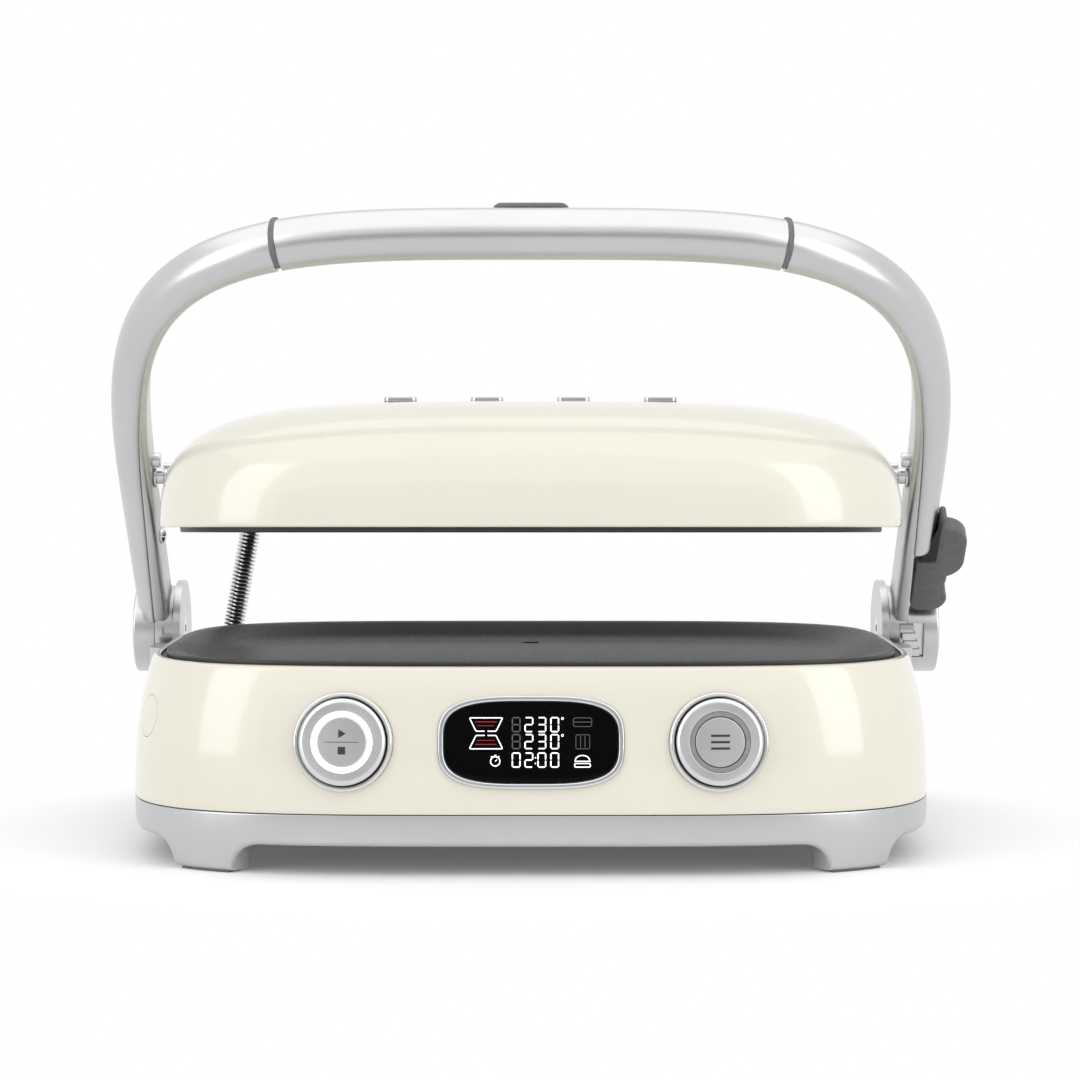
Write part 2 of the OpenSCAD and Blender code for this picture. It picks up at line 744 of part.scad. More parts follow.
// The arch's outer edge: straight arms that run into half a superellipse. t is its angle, from 0 to 180.
arch_rise = arch_reach - arch_start;
function arch_point(t) = [
    arch_half_w * signed_power(cos(t), 2 / arch_power), arch_start + arch_rise * pow(sin(t), 2 / arch_power)
];
function arch_angle(x) = acos(pow(x / arch_half_w, arch_power / 2));
function arch_x(s) = arch_half_w * pow(1 - pow(max(0, s - arch_start) / arch_rise, arch_power), 1 / arch_power);
function arch_normal(t) =
    let (c = max(0.0001, abs(cos(t))), s = max(0.0001, sin(t)), e = 2 - 2 / arch_power,
        v = [sign(cos(t)) * pow(c, e) / arch_half_w, pow(s, e) / arch_rise]) v / norm(v);

// Share of the way from the arm's section at the hinge to the grip's section
function section_share(s) = min(1, max(0, (s - drum_r) / (0.55 * arch_reach)));
function band_at(s) = band_t + (grip_band_t - band_t) * section_share(s);
function total_at(s) = arm_t + (grip_t - arm_t) * section_share(s);
// Where the arm's inner face and the band's flat side lie, s along the arm
function inner_face_x(s) = arch_x(s) - total_at(s);
function band_face_x(s) = arch_x(s) - band_at(s);

// Stations of a run along the arch: outer point, outward normal, and a factor on width and on thickness
function arch_run(t0, t1, steps) =
    [for (k = [0 : steps]) let (t = t0 + (t1 - t0) * k / steps) [arch_point(t), arch_normal(t), 1, 1]];
function arm_foot(s0) = [[[arch_half_w, s0], [1, 0], 1, 1]];
// Rounded free end: thinner and narrower, with its flat side kept in line
function arm_blunt(s0) = [
    for (e = [[0, 0.6, 0.7], [2, 0.85, 0.9], [6, 1, 1]])
        [[arch_half_w - (1 - e[2]) * band_t, s0 + e[0]], [1, 0], e[1], e[2]]
];

band_power = 2.5;
band_steps = 12;
function place_section(station, pts) = [
    for (p = pts) [station[0][0] + station[1][0] * p[0], -(station[0][1] + station[1][1] * p[0]), p[1]]
];
// Outer band: a D whose flat side faces the liner
function band_section(s, width, depth) =
    let (t = depth * band_at(s)) [
        for (k = [0 : band_steps]) let (a = -90 + 180 * k / band_steps)
            [t * (signed_power(cos(a), 2 / band_power) - 1), width * handle_w / 2 * signed_power(sin(a), 2 / band_power)]
    ];
// Liner: a flat strip with bevelled edges on the inside of the band
function liner_section(s) =
    let (t = band_at(s) + run, e = total_at(s), b = handle_w / 2) [
        [-t, b - 0.9], [-e + 2, b - 1.3], [-e, b - 3.5], [-e, 3.5 - b], [-e + 2, 1.3 - b], [-t, 0.9 - b]
    ];

module band(stations) {
    skin([for (c = stations) place_section(c, band_section(c[0][1], c[2], c[3]))]);
}
module liner(stations) {
    skin([for (c = stations) place_section(c, liner_section(c[0][1]))]);
}

ring_t = arch_angle(grip_half_w);
ring_turn = arch_angle(grip_half_w - ring_w / 2) - ring_t;
arm_stations = arch_run(0, ring_t - ring_turn, 24);
right_band_start = arch_start - 22;

module left_arm() {
    color(SILVER) difference() {
        mirror([1, 0, 0]) in_arm() band(concat(arm_foot(8), arm_stations));
        mirror([1, 0, 0]) on_hinge(drum_x - over) cylinder(r = drum_r + run, h = 60, $fn = 96);
    }
}
module right_arm() {
    color(SILVER) in_arm() band(concat(arm_blunt(right_band_start), arm_stations));
}

module arm_liner() {
    difference() {
        in_arm() liner(concat(arm_foot(8), arm_stations));
        on_hinge(drum_x - over) cylinder(r = drum_r + run, h = 60, $fn = 96);
        arm_rod(arm_pivot_s, pivot_r + run, drum_x - 4, arch_half_w);
        arm_rod(stop_s, stop_r + run, drum_x - 4, arch_half_w);
    }
}
module left_arm_liner() { color(STEEL) mirror([1, 0, 0]) arm_liner(); }
module right_arm_liner() { color(STEEL) arm_liner(); }

grip_stations = arch_run(ring_t + ring_turn, 180 - ring_t - ring_turn, 18);
pad_half_w = 19;
module handle_grip() { color(SILVER) in_arm() band(grip_stations); }
module grip_liner() { color(STEEL) in_arm() liner(grip_stations); }

// Dark rings: a thin slice of the whole section, standing a little proud
function ring_section_at(s) =
    let (e = total_at(s), b = handle_w / 2 + 0.25) [
        for (k = [0 : 23]) let (a = 15 * k)
            [e / 2 * (signed_power(cos(a), 2 / band_power) - 1) + 0.25 * cos(a), b * signed_power(sin(a), 2 / band_power)]
    ];
module handle_rings() {
    gap = 0.02;
    color(GREY) for (m = [0, 1]) mirror([m, 0, 0]) in_arm()
        skin([for (c = arch_run(ring_t - ring_turn + gap, ring_t + ring_turn - gap, 1))
            place_section(c, ring_section_at(c[0][1]))]);
}

// Rest pad: touches the table when the grill is opened flat
module handle_rest_pad() {
    mid = arch_reach - grip_band_t / 2;
    color(GREY) in_arm() difference() {
        translate([0, -mid, 0]) slot_bar(2 * pad_half_w, 9, 0, handle_w / 2 + 1.6);
        band(grip_stations);
        translate([-pad_half_w - over, -arch_reach, -over]) cube([2 * pad_half_w + 2 * over, 40, handle_w / 2 - 2]);
    }
}

screw_s = 80;
module arm_screws() {
    color(STEEL) mirror([1, 0, 0]) in_arm() translate([inner_face_x(screw_s) - run, -screw_s, -2]) rotate([0, -90, 0])
        rotate_extrude() polygon([[0, 0], [4.2, 0], [4, 1.2], [3, 2.3], [1.5, 2.9], [0, 3]]);
}

stop_s = arm_pivot_s + 12.2;
stop_r = 3.9;
stop_reach = 4.5;
module tilt_stops() {
    color(STEEL) for (m = [0, 1]) mirror([m, 0, 0])
        arm_rod(stop_s, stop_r, inner_face_x(stop_s) - stop_reach, band_face_x(stop_s) - seat);
}

// ---------- Height lever on the right arm ----------

// The lever turns on a pin along x. Below the band's end it covers the liner, above it stands beside the band.
lever_s = right_band_start - 12.5;
lever_h = -6;
lever_t = 10;
lever_pin_r = 3;
lever_pin_l = 9.9;
lever_lobe_r = 13;
lever_tail_r = 9.5;
lever_foot_x = drum_seam_x + 0.4;
lever_side_x = arch_half_w + 0.3;
module lever_mount() {
    color(BLACK) {
        arm_rod(lever_s, lever_pin_r, drum_seam_x, lever_foot_x + lever_pin_l - 0.3, lever_h);
        arm_rod(lever_s, lever_pin_r + 1.6, drum_seam_x, lever_foot_x - 0.1, lever_h);
    }
}

// The lever's outline in the arm's plane, with its pin at y = 0: a long upper lobe, a waist, a tail and a fin
module lever_outline() {
    lobe_x = lever_foot_x + lever_lobe_r + 0.2;
    difference() {
        union() {
            for (s = [8.2, 22.2]) translate([lobe_x, -s]) circle(r = lever_lobe_r);
            translate([lever_foot_x + 0.2, -22.2]) square([2 * lever_lobe_r, 14]);
            translate([lever_foot_x, -8.2]) square([17.3, 31.2]);
            translate([lever_foot_x + lever_tail_r + 0.6, 23]) circle(r = lever_tail_r);
            translate([lever_side_x, -41.8]) square([3.8, 20]);
            translate([lever_side_x + 1.9, -41.8]) circle(r = 1.9);
        }
        translate([lever_foot_x - over, -60]) square([lever_side_x - lever_foot_x + over, 60 - 8.7]);
    }
}

module height_lever() {
    color(GREY) difference() {
        in_arm() translate([0, -lever_s, lever_h - lever_t / 2]) {
            linear_extrude(lever_t) lever_outline();
            translate([lever_foot_x, -6, -1.5]) cube([4.4, 15, 2]);
        }
        arm_rod(lever_s, lever_pin_r + run, lever_foot_x - over, lever_foot_x + lever_pin_l, lever_h);
    }
}

// ---------- Lid ----------

// Lid frame: origin in the middle of the lid's edge plane. Children are placed at the raised position.
module in_lid() {
    translate([0, hinge_y - arm_pivot_s * cos(arm_angle), hinge_z + arm_pivot_s * sin(arm_angle)])
        rotate([-lid_tilt, 0, 0]) translate([0, -lid_pivot_y, -lid_pivot_h]) children();
}

// Width of the dome at a share v of its height
function dome_scale(v) = pow(max(0, 1 - pow(v, 3)), 1 / 4.6);
function dome_power(v) = corner_power - 0.9 * v * v;
lid_steps = 64;
function dome_ring(inset, v) = plan_ring(
    (lid_half_w - inset) * dome_scale(v), (lid_half_d - inset) * dome_scale(v), (lid_h - inset) * v,
    dome_power(v), lid_steps
);
function dome_levels(count) = [for (k = [0 : count]) sin(86.5 * k / count)];
inner_levels = dome_levels(6);
// Half width of the dome at a depth y and a height z
function dome_x(y, z) =
    let (w = dome_scale(z / lid_h), n = dome_power(z / lid_h))
        lid_half_w * w * pow(1 - pow(abs(y) / (lid_half_d * w), n), 1 / n);

// Solid inside the lid's outer face, grown by an amount, from its edge up to one of the outer levels
outer_levels = dome_levels(11);
module dome_form(grow, top) {
    skin([for (k = [0 : top]) dome_ring(-grow, outer_levels[k])]);
}

// Upper release button: a point on the left front of the dome
upper_release_z = 26;
upper_release_y = -62;
module on_lid_left() {
    x = -dome_x(upper_release_y, upper_release_z);
    azimuth = plan_azimuth(x, upper_release_y, lid_half_w, lid_half_d);
    translate([x, upper_release_y, upper_release_z]) rotate([0, 72, azimuth]) children();
}

top_pad_spots = [-67, -22.6, 21.8, 66.4];
top_pad_y = -50;
top_pad_z = lid_h - 0.9;
module top_pad_bars(grow, z0, z1) {
    for (x = top_pad_spots) translate([x, top_pad_y]) slot_bar(17 + 2 * grow, 6 + 2 * grow, z0, z1);
}

module lid_shell() {
    color(CREAM) in_lid() difference() {
        skin(concat(
            [for (k = [len(inner_levels) - 1 : -1 : 0]) dome_ring(lid_wall, inner_levels[k])],
            [for (v = outer_levels) dome_ring(0, v)]
        ));
        translate([-lid_half_w - over, lid_pivot_y, lid_pivot_h]) rotate([0, 90, 0])
            cylinder(r = pivot_r + 2, h = 2 * (lid_half_w + over));
        on_lid_left() disc(release_r + seat, -14, 8);
        top_pad_bars(0.1, top_pad_z, lid_h + 3);
    }
}

module lid_top_pads() {
    color(STEEL) in_lid() top_pad_bars(0, top_pad_z, lid_h + 1.9);
}

// Ring or plate that follows the lid's plan, in the lid frame
module lid_prism(z0, z1, inset, inner_inset = undef) {
    translate([0, 0, z0]) linear_extrude(z1 - z0) difference() {
        polygon(plan_outline(lid_half_w - inset, lid_half_d - inset));
        if (!is_undef(inner_inset))
            polygon(plan_outline(lid_half_w - inner_inset, lid_half_d - inner_inset));
    }
}

lid_flange_z = 6.6;
boss_x0 = lid_half_w - 26;
boss_x1 = lid_half_w - lid_wall - 5;
module lid_frame() {
    play = 0.8;
    border = upper_plate_border - play;
    color(BLACK) in_lid() difference() {
        union() {
            lid_prism(0.6, lid_flange_z, lid_wall + play, border);
            lid_prism(lid_flange_z, lid_flange_z + 2, lid_wall + 2 * play, border + 9);
            intersection() {
                skin([for (v = inner_levels) dome_ring(lid_wall + play, v)]);
                for (m = [0, 1]) mirror([m, 0, 0]) {
                    translate([boss_x0, lid_pivot_y, lid_pivot_h]) rotate([0, 90, 0])
                        cylinder(r = 9, h = boss_x1 - boss_x0);
                    translate([boss_x0, lid_pivot_y - 9, lid_flange_z + 1])
                        cube([boss_x1 - boss_x0, 18, lid_pivot_h - lid_flange_z - 1]);
                }
            }
        }
        translate([-lid_half_w, lid_pivot_y, lid_pivot_h]) rotate([0, 90, 0])
            cylinder(r = pivot_r + run, h = 2 * lid_half_w);
    }
}

upper_slab_z = lid_flange_z - 0.4;
module upper_plate() {
    rim = upper_plate_border + 5;
    ribs = floor((upper_half_w - 8) / rib_pitch);
    color(CHARCOAL) in_lid() {
        lid_prism(0.4, upper_slab_z, upper_plate_border);
        lid_prism(-upper_plate_proud, 0.4, upper_plate_border, rim);
        intersection() {
            lid_prism(-upper_plate_proud, 0.4, rim + 3);
            for (k = [-ribs : ribs]) translate([k * rib_pitch - rib_w / 2, -lid_half_d, 0.2 - upper_plate_proud])
                cube([rib_w, 2 * lid_half_d, upper_plate_proud + 0.2]);
        }
    }
}

upper_heater_z = upper_slab_z + seat + heater_r;
module upper_heater() {
    color(STEEL) in_lid() translate([0, 0, upper_heater_z]) heater_loop(0.6 * lid_half_w, 0.42 * lid_half_d);
}

module upper_reflector() {
    edge = upper_plate_border + 3;
    color(STEEL) in_lid() difference() {
        union() {
            lid_prism(lid_flange_z + 2 + seat, upper_heater_z + heater_r + seat, edge, edge + 1.5);
            lid_prism(upper_heater_z + heater_r + seat, upper_heater_z + heater_r + seat + 1.2, edge);
        }
        for (m = [0, 1]) mirror([m, 0, 0])
            translate([boss_x0 - 2, lid_pivot_y - 11, 0]) cube([30, 22, lid_h]);
    }
}

pin_inner_x = boss_x0 + 1;
module pivot_pin() {
    collar_x = inner_face_x(arm_pivot_s) - 1.9;
    arm_rod(arm_pivot_s, pivot_r, pin_inner_x, band_face_x(arm_pivot_s) - seat);
    arm_rod(arm_pivot_s, pivot_r + 2, collar_x, collar_x + 1.6);
}
module pivot_pin_left() { color(STEEL) mirror([1, 0, 0]) pivot_pin(); }
module pivot_pin_right() { color(STEEL) pivot_pin(); }

rod_y = lid_pivot_y + 12;
rod_z = lid_pivot_h + 5;
module tilt_rods() {
    x = dome_x(rod_y, rod_z - 2) + 0.1;
    color(STEEL) in_lid() for (m = [0, 1]) mirror([m, 0, 0])
        translate([x, rod_y, rod_z]) rotate([0, 90, 0]) cylinder(r = 2.2, h = lid_half_w + 8 - x);
}

module upper_release() {
    color(CREAM) in_lid() {
        intersection() {
            dome_form(0, 6);
            on_lid_left() disc(release_r, -6, 8);
        }
        on_lid_left() disc(4.5, -13, -6);
    }
}

// ---------- Sprung sleeve round the lid's lead ----------

lead_top_y = lid_half_d - 12;
lead_top_z = 14;
lead_top_x = 32.9 - lid_half_w;
// The sleeve's upper end in the part's frame
pivot_now = [0, hinge_y - arm_pivot_s * cos(arm_angle), hinge_z + arm_pivot_s * sin(arm_angle)];
lead_off = [lead_top_y - lid_pivot_y, lead_top_z - lid_pivot_h];
lead_end = pivot_now + [
    lead_top_x, lead_off[0] * cos(lid_tilt) + lead_off[1] * sin(lid_tilt),
    lead_off[1] * cos(lid_tilt) - lead_off[0] * sin(lid_tilt)
];
lead_start = [lead_x, lead_y, bracket_top - 3];
lead_run = lead_end - lead_start;

module lead_sleeve() {
    length = norm(lead_run);
    turns = floor(length / sleeve_pitch);
    groove = 0.9;
    color(STEEL) translate(lead_start)
        rotate([0, acos(lead_run[2] / length), atan2(lead_run[1], lead_run[0])])
            rotate_extrude($fn = 36) polygon(concat(
                [[0, 0]],
                [for (k = [0 : turns - 1]) each [
                    [sleeve_r - groove, k * length / turns], [sleeve_r, (k + 0.5) * length / turns]
                ]],
                [[sleeve_r - groove, length], [0, length]]
            ));
}

module lead_gland_lower() {
    color(BLACK) translate([lead_x, lead_y, 0]) tube(10, 7.4, bracket_top + run, bracket_top + 2.5);
}

module lead_gland_upper() {
    color(BLACK) in_lid() difference() {
        union() {
            translate([lead_top_x, lead_top_y, 0]) disc(9, lead_top_z - 4, lead_top_z + 8);
            translate([lead_top_x - 9, lead_top_y - 14, lead_top_z - 4]) cube([18, 14, 12]);
        }
        dome_form(0.1, 4);
        translate([lead_top_x, lead_top_y, 0]) disc(sleeve_r + 1.5, lead_top_z - 5, lead_top_z + 1.9);
    }
}

base_frame();
foot_pads();
bottom_cover();
cover_screws();
lower_shell();
plate_frame();
lower_heater();
lower_reflector();
lower_thermostat();
display_bezel();
display_lens();
control_board();
power_board();
start_bezel();
menu_bezel();
start_encoder();
menu_encoder();
hinge_bracket_left();
hinge_bracket_right();
lead_gland_lower();
mains_gland();
lead_sleeve();
start_dial();
start_light_ring();
start_button();
menu_dial();
menu_light_ring();
menu_button();
lower_release();
lower_plate();
drip_tray();
hinge_axle_left();
hinge_axle_right();
hinge_drum_left();
hinge_drum_right();
left_arm();
right_arm();
left_arm_liner();
right_arm_liner();
handle_grip();
grip_liner();
handle_rings();
handle_rest_pad();
arm_screws();
tilt_stops();
height_cam();
lever_mount();
height_lever();
pivot_pin_left();
pivot_pin_right();
lid_shell();
lid_frame();
lid_top_pads();
upper_heater();
upper_reflector();
tilt_rods();
lead_gland_upper();
upper_release();
upper_plate();
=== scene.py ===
"""Looks of the contact grill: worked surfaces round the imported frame, their finishes, and a pale studio.

Shapes are worked out in millimetres in the frame's own axes and become metres in the mesh.
A shape is (points, faces). Most are a grid of points whose rows close on themselves.
"""
import math

import bpy
import numpy as np
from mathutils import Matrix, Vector


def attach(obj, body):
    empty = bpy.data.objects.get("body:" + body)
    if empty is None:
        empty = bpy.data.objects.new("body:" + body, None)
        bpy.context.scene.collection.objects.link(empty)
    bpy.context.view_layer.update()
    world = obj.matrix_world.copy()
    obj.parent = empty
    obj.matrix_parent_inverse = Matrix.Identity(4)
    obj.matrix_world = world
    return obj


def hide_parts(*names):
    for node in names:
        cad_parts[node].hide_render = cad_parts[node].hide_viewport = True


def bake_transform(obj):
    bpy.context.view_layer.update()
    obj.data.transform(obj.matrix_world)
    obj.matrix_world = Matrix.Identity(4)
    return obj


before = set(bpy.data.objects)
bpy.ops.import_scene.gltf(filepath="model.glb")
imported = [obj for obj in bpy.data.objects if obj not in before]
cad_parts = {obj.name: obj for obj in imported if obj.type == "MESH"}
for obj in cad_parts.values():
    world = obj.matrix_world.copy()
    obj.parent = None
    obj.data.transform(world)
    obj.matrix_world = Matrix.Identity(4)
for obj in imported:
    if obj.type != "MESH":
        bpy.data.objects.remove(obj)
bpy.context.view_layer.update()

# ---------- Sizes of the object, in millimetres and degrees ----------

BODY_HALF_W = 200.0
BODY_HALF_D = 140.0
CORNER_POWER = 4.0
SEAM_Z = 30.0
SHELL_H = 69.5
RIM_Z = SEAM_Z + SHELL_H
SHELL_DRAW = 9.3
SHELL_DRAW_POWER = 2.6
SHELL_WALL = 3.0
RIM_ROUND = 3.0
OPENING_INSET = SHELL_DRAW + 3.3

FOOT_GAP = 14.6
RING_WALL = 8.0
RING_LIP = 3.6
FOOT_DEPTH = 14.0
FOOT_TAPER = 2.2
FOOT_FROM = 40.0
FOOT_TO = 58.0
FILLET_TURN = 7.0
PAD_H = 1.2

PLATE_INSET = OPENING_INSET + 3.0
PLATE_RIM_Z = RIM_Z + 1.8
PLATE_FLOOR_Z = PLATE_RIM_Z - 9.0
PLATE_SLOPE = 24.0
FRAME_TOP = RIM_Z - 1.4
DRAIN_Y = 0.6 * BODY_HALF_D

LID_HALF_W = BODY_HALF_W - SHELL_DRAW + 0.7
LID_HALF_D = BODY_HALF_D - SHELL_DRAW + 0.7
LID_H = 65.0
LID_WALL = 3.0
LID_TILT = 2.62
LID_PIVOT_H = 27.7
SHUT_GAP = 5.0
DOME_POWER = 4.6
DOME_SOFTENING = 0.9
UPPER_BORDER = 10.0
UPPER_PROUD = 2.6
RIB_PITCH = 9.0
RIB_W = 4.0
RELEASE_R = 10.3

HINGE_Y = BODY_HALF_D
HINGE_Z = RIM_Z - 3.8
DRUM_R = 24.5
DRUM_X = BODY_HALF_W + 1.8
DRUM_SEAM_X = DRUM_X + 10.4
DRUM_LEFT_END = DRUM_SEAM_X + 12.2
DRUM_RIGHT_END = DRUM_SEAM_X + 17.9
AXLE_R = 7.0
COPE_GAP = 0.06

ARM_ANGLE = 45.4
ARM_PIVOT_S = 125.8
ARCH_REACH = 309.5
ARCH_START = 94.5
ARCH_RISE = ARCH_REACH - ARCH_START
ARCH_POWER = 3.7
HANDLE_W = 27.8
ARM_T = 17.8
GRIP_T = 19.5
BAND_T = 9.6
GRIP_BAND_T = 16.0
BAND_POWER = 2.5
ARCH_HALF_W = DRUM_SEAM_X + BAND_T
GRIP_HALF_W = 128.0
RING_HALF_W = 1.5
RIGHT_BAND_START = ARCH_START - 22.0
BAND_TIP = 6.0
PIVOT_R = 4.4
STOP_S = ARM_PIVOT_S + 12.2
STOP_R = 3.9

DIAL_X = 89.0
PANEL_Z = 64.5
PANEL_SEAT = 1.3
BEZEL_R = 23.8
BEZEL_NECK_R = BEZEL_R - 1.9
DIAL_R = 20.6
DIAL_PROUD = 5.0
BUTTON_FACE = DIAL_PROUD - 0.5
BUTTON_R = 11.8
LIGHT_R = 14.5
DISPLAY_HALF_W = 44.0
DISPLAY_HALF_H = 22.0
DISPLAY_POWER = 3.4
DISPLAY_STEPS = 160
GLASS_TOP = -0.4
SEAT = 0.25

MM = 0.001
ROUND_STEPS = 384
LATHE_STEPS = 128


# ---------- Placing ----------

def move(x, y, z):
    """Shift by x, y, z, as a 4 by 4 matrix."""
    out = np.eye(4)
    out[:3, 3] = (x, y, z)
    return out


def turn(axis, degrees):
    """Turn about axis 0, 1 or 2 (x, y or z), by the right-hand rule."""
    c = math.cos(math.radians(degrees))
    s = math.sin(math.radians(degrees))
    a, b = ((1, 2), (2, 0), (0, 1))[axis]
    out = np.eye(4)
    out[a, a] = out[b, b] = c
    out[b, a] = s
    out[a, b] = -s
    return out


MIRROR_X = np.diag([-1.0, 1.0, 1.0, 1.0])
HERE = np.eye(4)


def placed(matrix, points):
    """Points of any grid, moved by a 4 by 4 matrix."""
    return points @ matrix[:3, :3].T + matrix[:3, 3]


def on_axis_x(matrix, x, y, z):
    """Place whose local z runs along +x of matrix, from a point."""
    return matrix @ move(x, y, z) @ turn(1, 90)


IN_ARM = move(0, HINGE_Y, HINGE_Z) @ turn(0, -ARM_ANGLE)
SHUT_ANGLE = math.asin((RIM_Z + SHUT_GAP + LID_PIVOT_H - HINGE_Z) / ARM_PIVOT_S)
LID_PIVOT_Y = HINGE_Y - ARM_PIVOT_S * math.cos(SHUT_ANGLE)
PIVOT = placed(IN_ARM, np.array([0.0, -ARM_PIVOT_S, 0.0]))
IN_LID = move(*PIVOT) @ turn(0, -LID_TILT) @ move(0, -LID_PIVOT_Y, -LID_PIVOT_H)


# ---------- Curves ----------

def signed_power(value, exponent):
    """|value| to the exponent, with value's sign."""
    return np.sign(value) * np.abs(value) ** exponent


def plan(turns, half_w, half_d, power):
    """Superellipse: x = half_w |cos|^(2/power) and y = half_d |sin|^(2/power),
    with the signs of cos and sin."""
    return half_w * signed_power(np.cos(turns), 2 / power), half_d * signed_power(np.sin(turns), 2 / power)


def even_steps(curve, start, end, count, whole=True):
    """Parameter values at equal lengths along a curve: the running length, read backwards."""
    fine = np.linspace(0, 1, 6001)
    fine = start + (end - start) * fine
    length = np.r_[0, np.cumsum(np.linalg.norm(np.diff(np.stack(curve(fine), -1), axis=0), axis=1))]
    return np.interp(np.linspace(0, length[-1], count, endpoint=whole), length, fine)


def plan_turns(count, half_w=BODY_HALF_W, half_d=BODY_HALF_D, power=CORNER_POWER):
    """Turns round a superellipse at even lengths. Quadrants are equal, so the axes get a point each."""
    def curve(t):
        return plan(t, half_w, half_d, power)

    quarter = even_steps(curve, 0, np.pi / 2, count // 4, whole=False)
    mirrored = np.pi - even_steps(curve, 0, np.pi / 2, count // 4 + 1)[:0:-1]
    half = np.r_[quarter, mirrored]
    return np.r_[half, half + np.pi]


def rounded(corners, radii, steps=5, closed=True):
    """Outline with its corners rounded: each is a parabola between points a radius before and after it.
    Corners are (count, 2), or (count, stations, 2) for an outline that changes along a run."""
    corners = np.asarray(corners, float)
    radii = np.broadcast_to(radii, len(corners))
    out = []
    for k, corner in enumerate(corners):
        if radii[k] <= 0 or (not closed and k in (0, len(corners) - 1)):
            out.append(corner[None])
            continue
        ends = []
        for other in (corners[k - 1], corners[(k + 1) % len(corners)]):
            step = other - corner
            length = np.maximum(np.linalg.norm(step, axis=-1, keepdims=True), 1e-9)
            ends.append(corner + step * np.minimum(radii[k] / length, 0.49))
        share = np.linspace(0, 1, steps).reshape(-1, *[1] * corner.ndim)
        out.append((1 - share) ** 2 * ends[0] + 2 * share * (1 - share) * corner + share ** 2 * ends[1])
    return np.concatenate(out)


# ---------- Solids ----------

def solid(grid, start=None, end=None, loop=False):
    """Closed surface over a grid of points. Rows close on themselves. The last row joins the first (loop),
    or each end row is filled flat or runs to a point (start, end). It is turned to face outwards."""
    rows, cols = grid.shape[:2]
    points = grid.reshape(-1, 3)
    a = np.arange(rows if loop else rows - 1)[:, None] * cols
    b = (a + cols) % (rows * cols)
    i = np.arange(cols)[None, :]
    j = (i + 1) % cols
    quads = np.stack([a + i, a + j, b + j, b + i], -1).reshape(-1, 4)
    triangles = [quads[:, :3], quads[:, [0, 2, 3]]]
    fans = []
    caps = []
    for row, tip in (() if loop else ((0, start), (rows - 1, end))):
        rim = row * cols + np.arange(cols)
        if row == 0:
            rim = rim[::-1]
        if tip is None:
            caps.append(rim)
            triangles.append(np.stack([np.full(cols - 2, rim[0]), rim[1:-1], rim[2:]], -1))
        else:
            points = np.vstack([points, tip])
            fans.append(np.stack([rim, np.roll(rim, -1), np.full(cols, len(points) - 1)], -1))
            triangles.append(fans[-1])
    t = np.vstack(triangles)
    volume = np.einsum("ij,ij->", points[t[:, 0]], np.cross(points[t[:, 1]], points[t[:, 2]]))
    way = 1 if volume > 0 else -1
    faces = quads[:, ::way].tolist()
    for part in fans + [cap[None] for cap in caps]:
        faces += part[:, ::way].tolist()
    return points, faces


def plan_rings(outline, half_w, half_d, turns, power=CORNER_POWER):
    """Rings that follow a plan: each point (inset, height) of the outline becomes a superellipse
    whose half axes are less by the inset."""
    inset, height = np.asarray(outline, float).T[:, :, None]
    x, y = plan(turns[None, :], half_w - inset, half_d - inset, power)
    return np.stack([x, y, np.broadcast_to(height, x.shape)], -1)


def lathe(outline, place=HERE, steps=LATHE_STEPS):
    """Solid turned about the local z axis from an outline of (radius, height): each point becomes
    (r cos t, r sin t, height). An end on the axis is a single point."""
    outline = np.asarray(outline, float)
    tips = [None, None]
    if outline[0, 0] == 0:
        tips[0] = placed(place, np.array([0, 0, outline[0, 1]]))
        outline = outline[1:]
    if outline[-1, 0] == 0:
        tips[1] = placed(place, np.array([0, 0, outline[-1, 1]]))
        outline = outline[:-1]
    turns = np.linspace(0, 2 * np.pi, steps, endpoint=False)[None, :]
    r, z = outline.T[:, :, None]
    grid = np.stack([r * np.cos(turns), r * np.sin(turns), np.broadcast_to(z, (len(r), steps))], -1)
    return solid(placed(place, grid), tips[0], tips[1], loop=tips[0] is None and tips[1] is None)


def rod(r, z0, z1, place=HERE, edge=0.5, steps=48):
    """Round bar between two heights, its ends chamfered."""
    return lathe(rounded([(0, z0), (r, z0), (r, z1), (0, z1)], edge, closed=False), place, steps)


def slab(outline, z0, z1, place=HERE, edge=0.4, steps=3):
    """Flat plate with a given outline. Its rims are quarter rounds: each row stands in by edge times
    1 - cos and back from the face by edge times 1 - sin, along the outline's own normals."""
    outline = np.asarray(outline, float)
    along = np.roll(outline, -1, 0) - np.roll(outline, 1, 0)
    x, y = outline.T
    area = (x * np.roll(y, -1) - y * np.roll(x, -1)).sum()
    inward = np.stack([-along[:, 1], along[:, 0]], -1) * np.sign(area)
    inward /= np.maximum(np.linalg.norm(inward, axis=1, keepdims=True), 1e-9)
    turns = np.linspace(0, np.pi / 2, steps + 1)
    rows = [(z0 + edge * (1 - np.sin(a)), edge * (1 - np.cos(a))) for a in turns[::-1]]
    rows += [(z1 - edge * (1 - np.sin(a)), edge * (1 - np.cos(a))) for a in turns]
    grid = [np.c_[outline + inward * inset, np.full(len(outline), height)] for height, inset in rows]
    return solid(placed(place, np.stack(grid)))


def block(low, high, place=HERE):
    """Box between two corners."""
    x, y = (low[0], high[0]), (low[1], high[1])
    outline = [(x[0], y[0]), (x[1], y[0]), (x[1], y[1]), (x[0], y[1])]
    return slab(outline, low[2], high[2], place, 0.01, 1)


def round_bar(length, width, steps=12):
    """Outline of a bar with half-round ends, centred."""
    a = np.linspace(-np.pi / 2, np.pi / 2, steps)
    right = np.stack([(length - width) / 2 + width / 2 * np.cos(a), width / 2 * np.sin(a)], -1)
    return np.vstack([right, -right])


# ---------- Pieces ----------

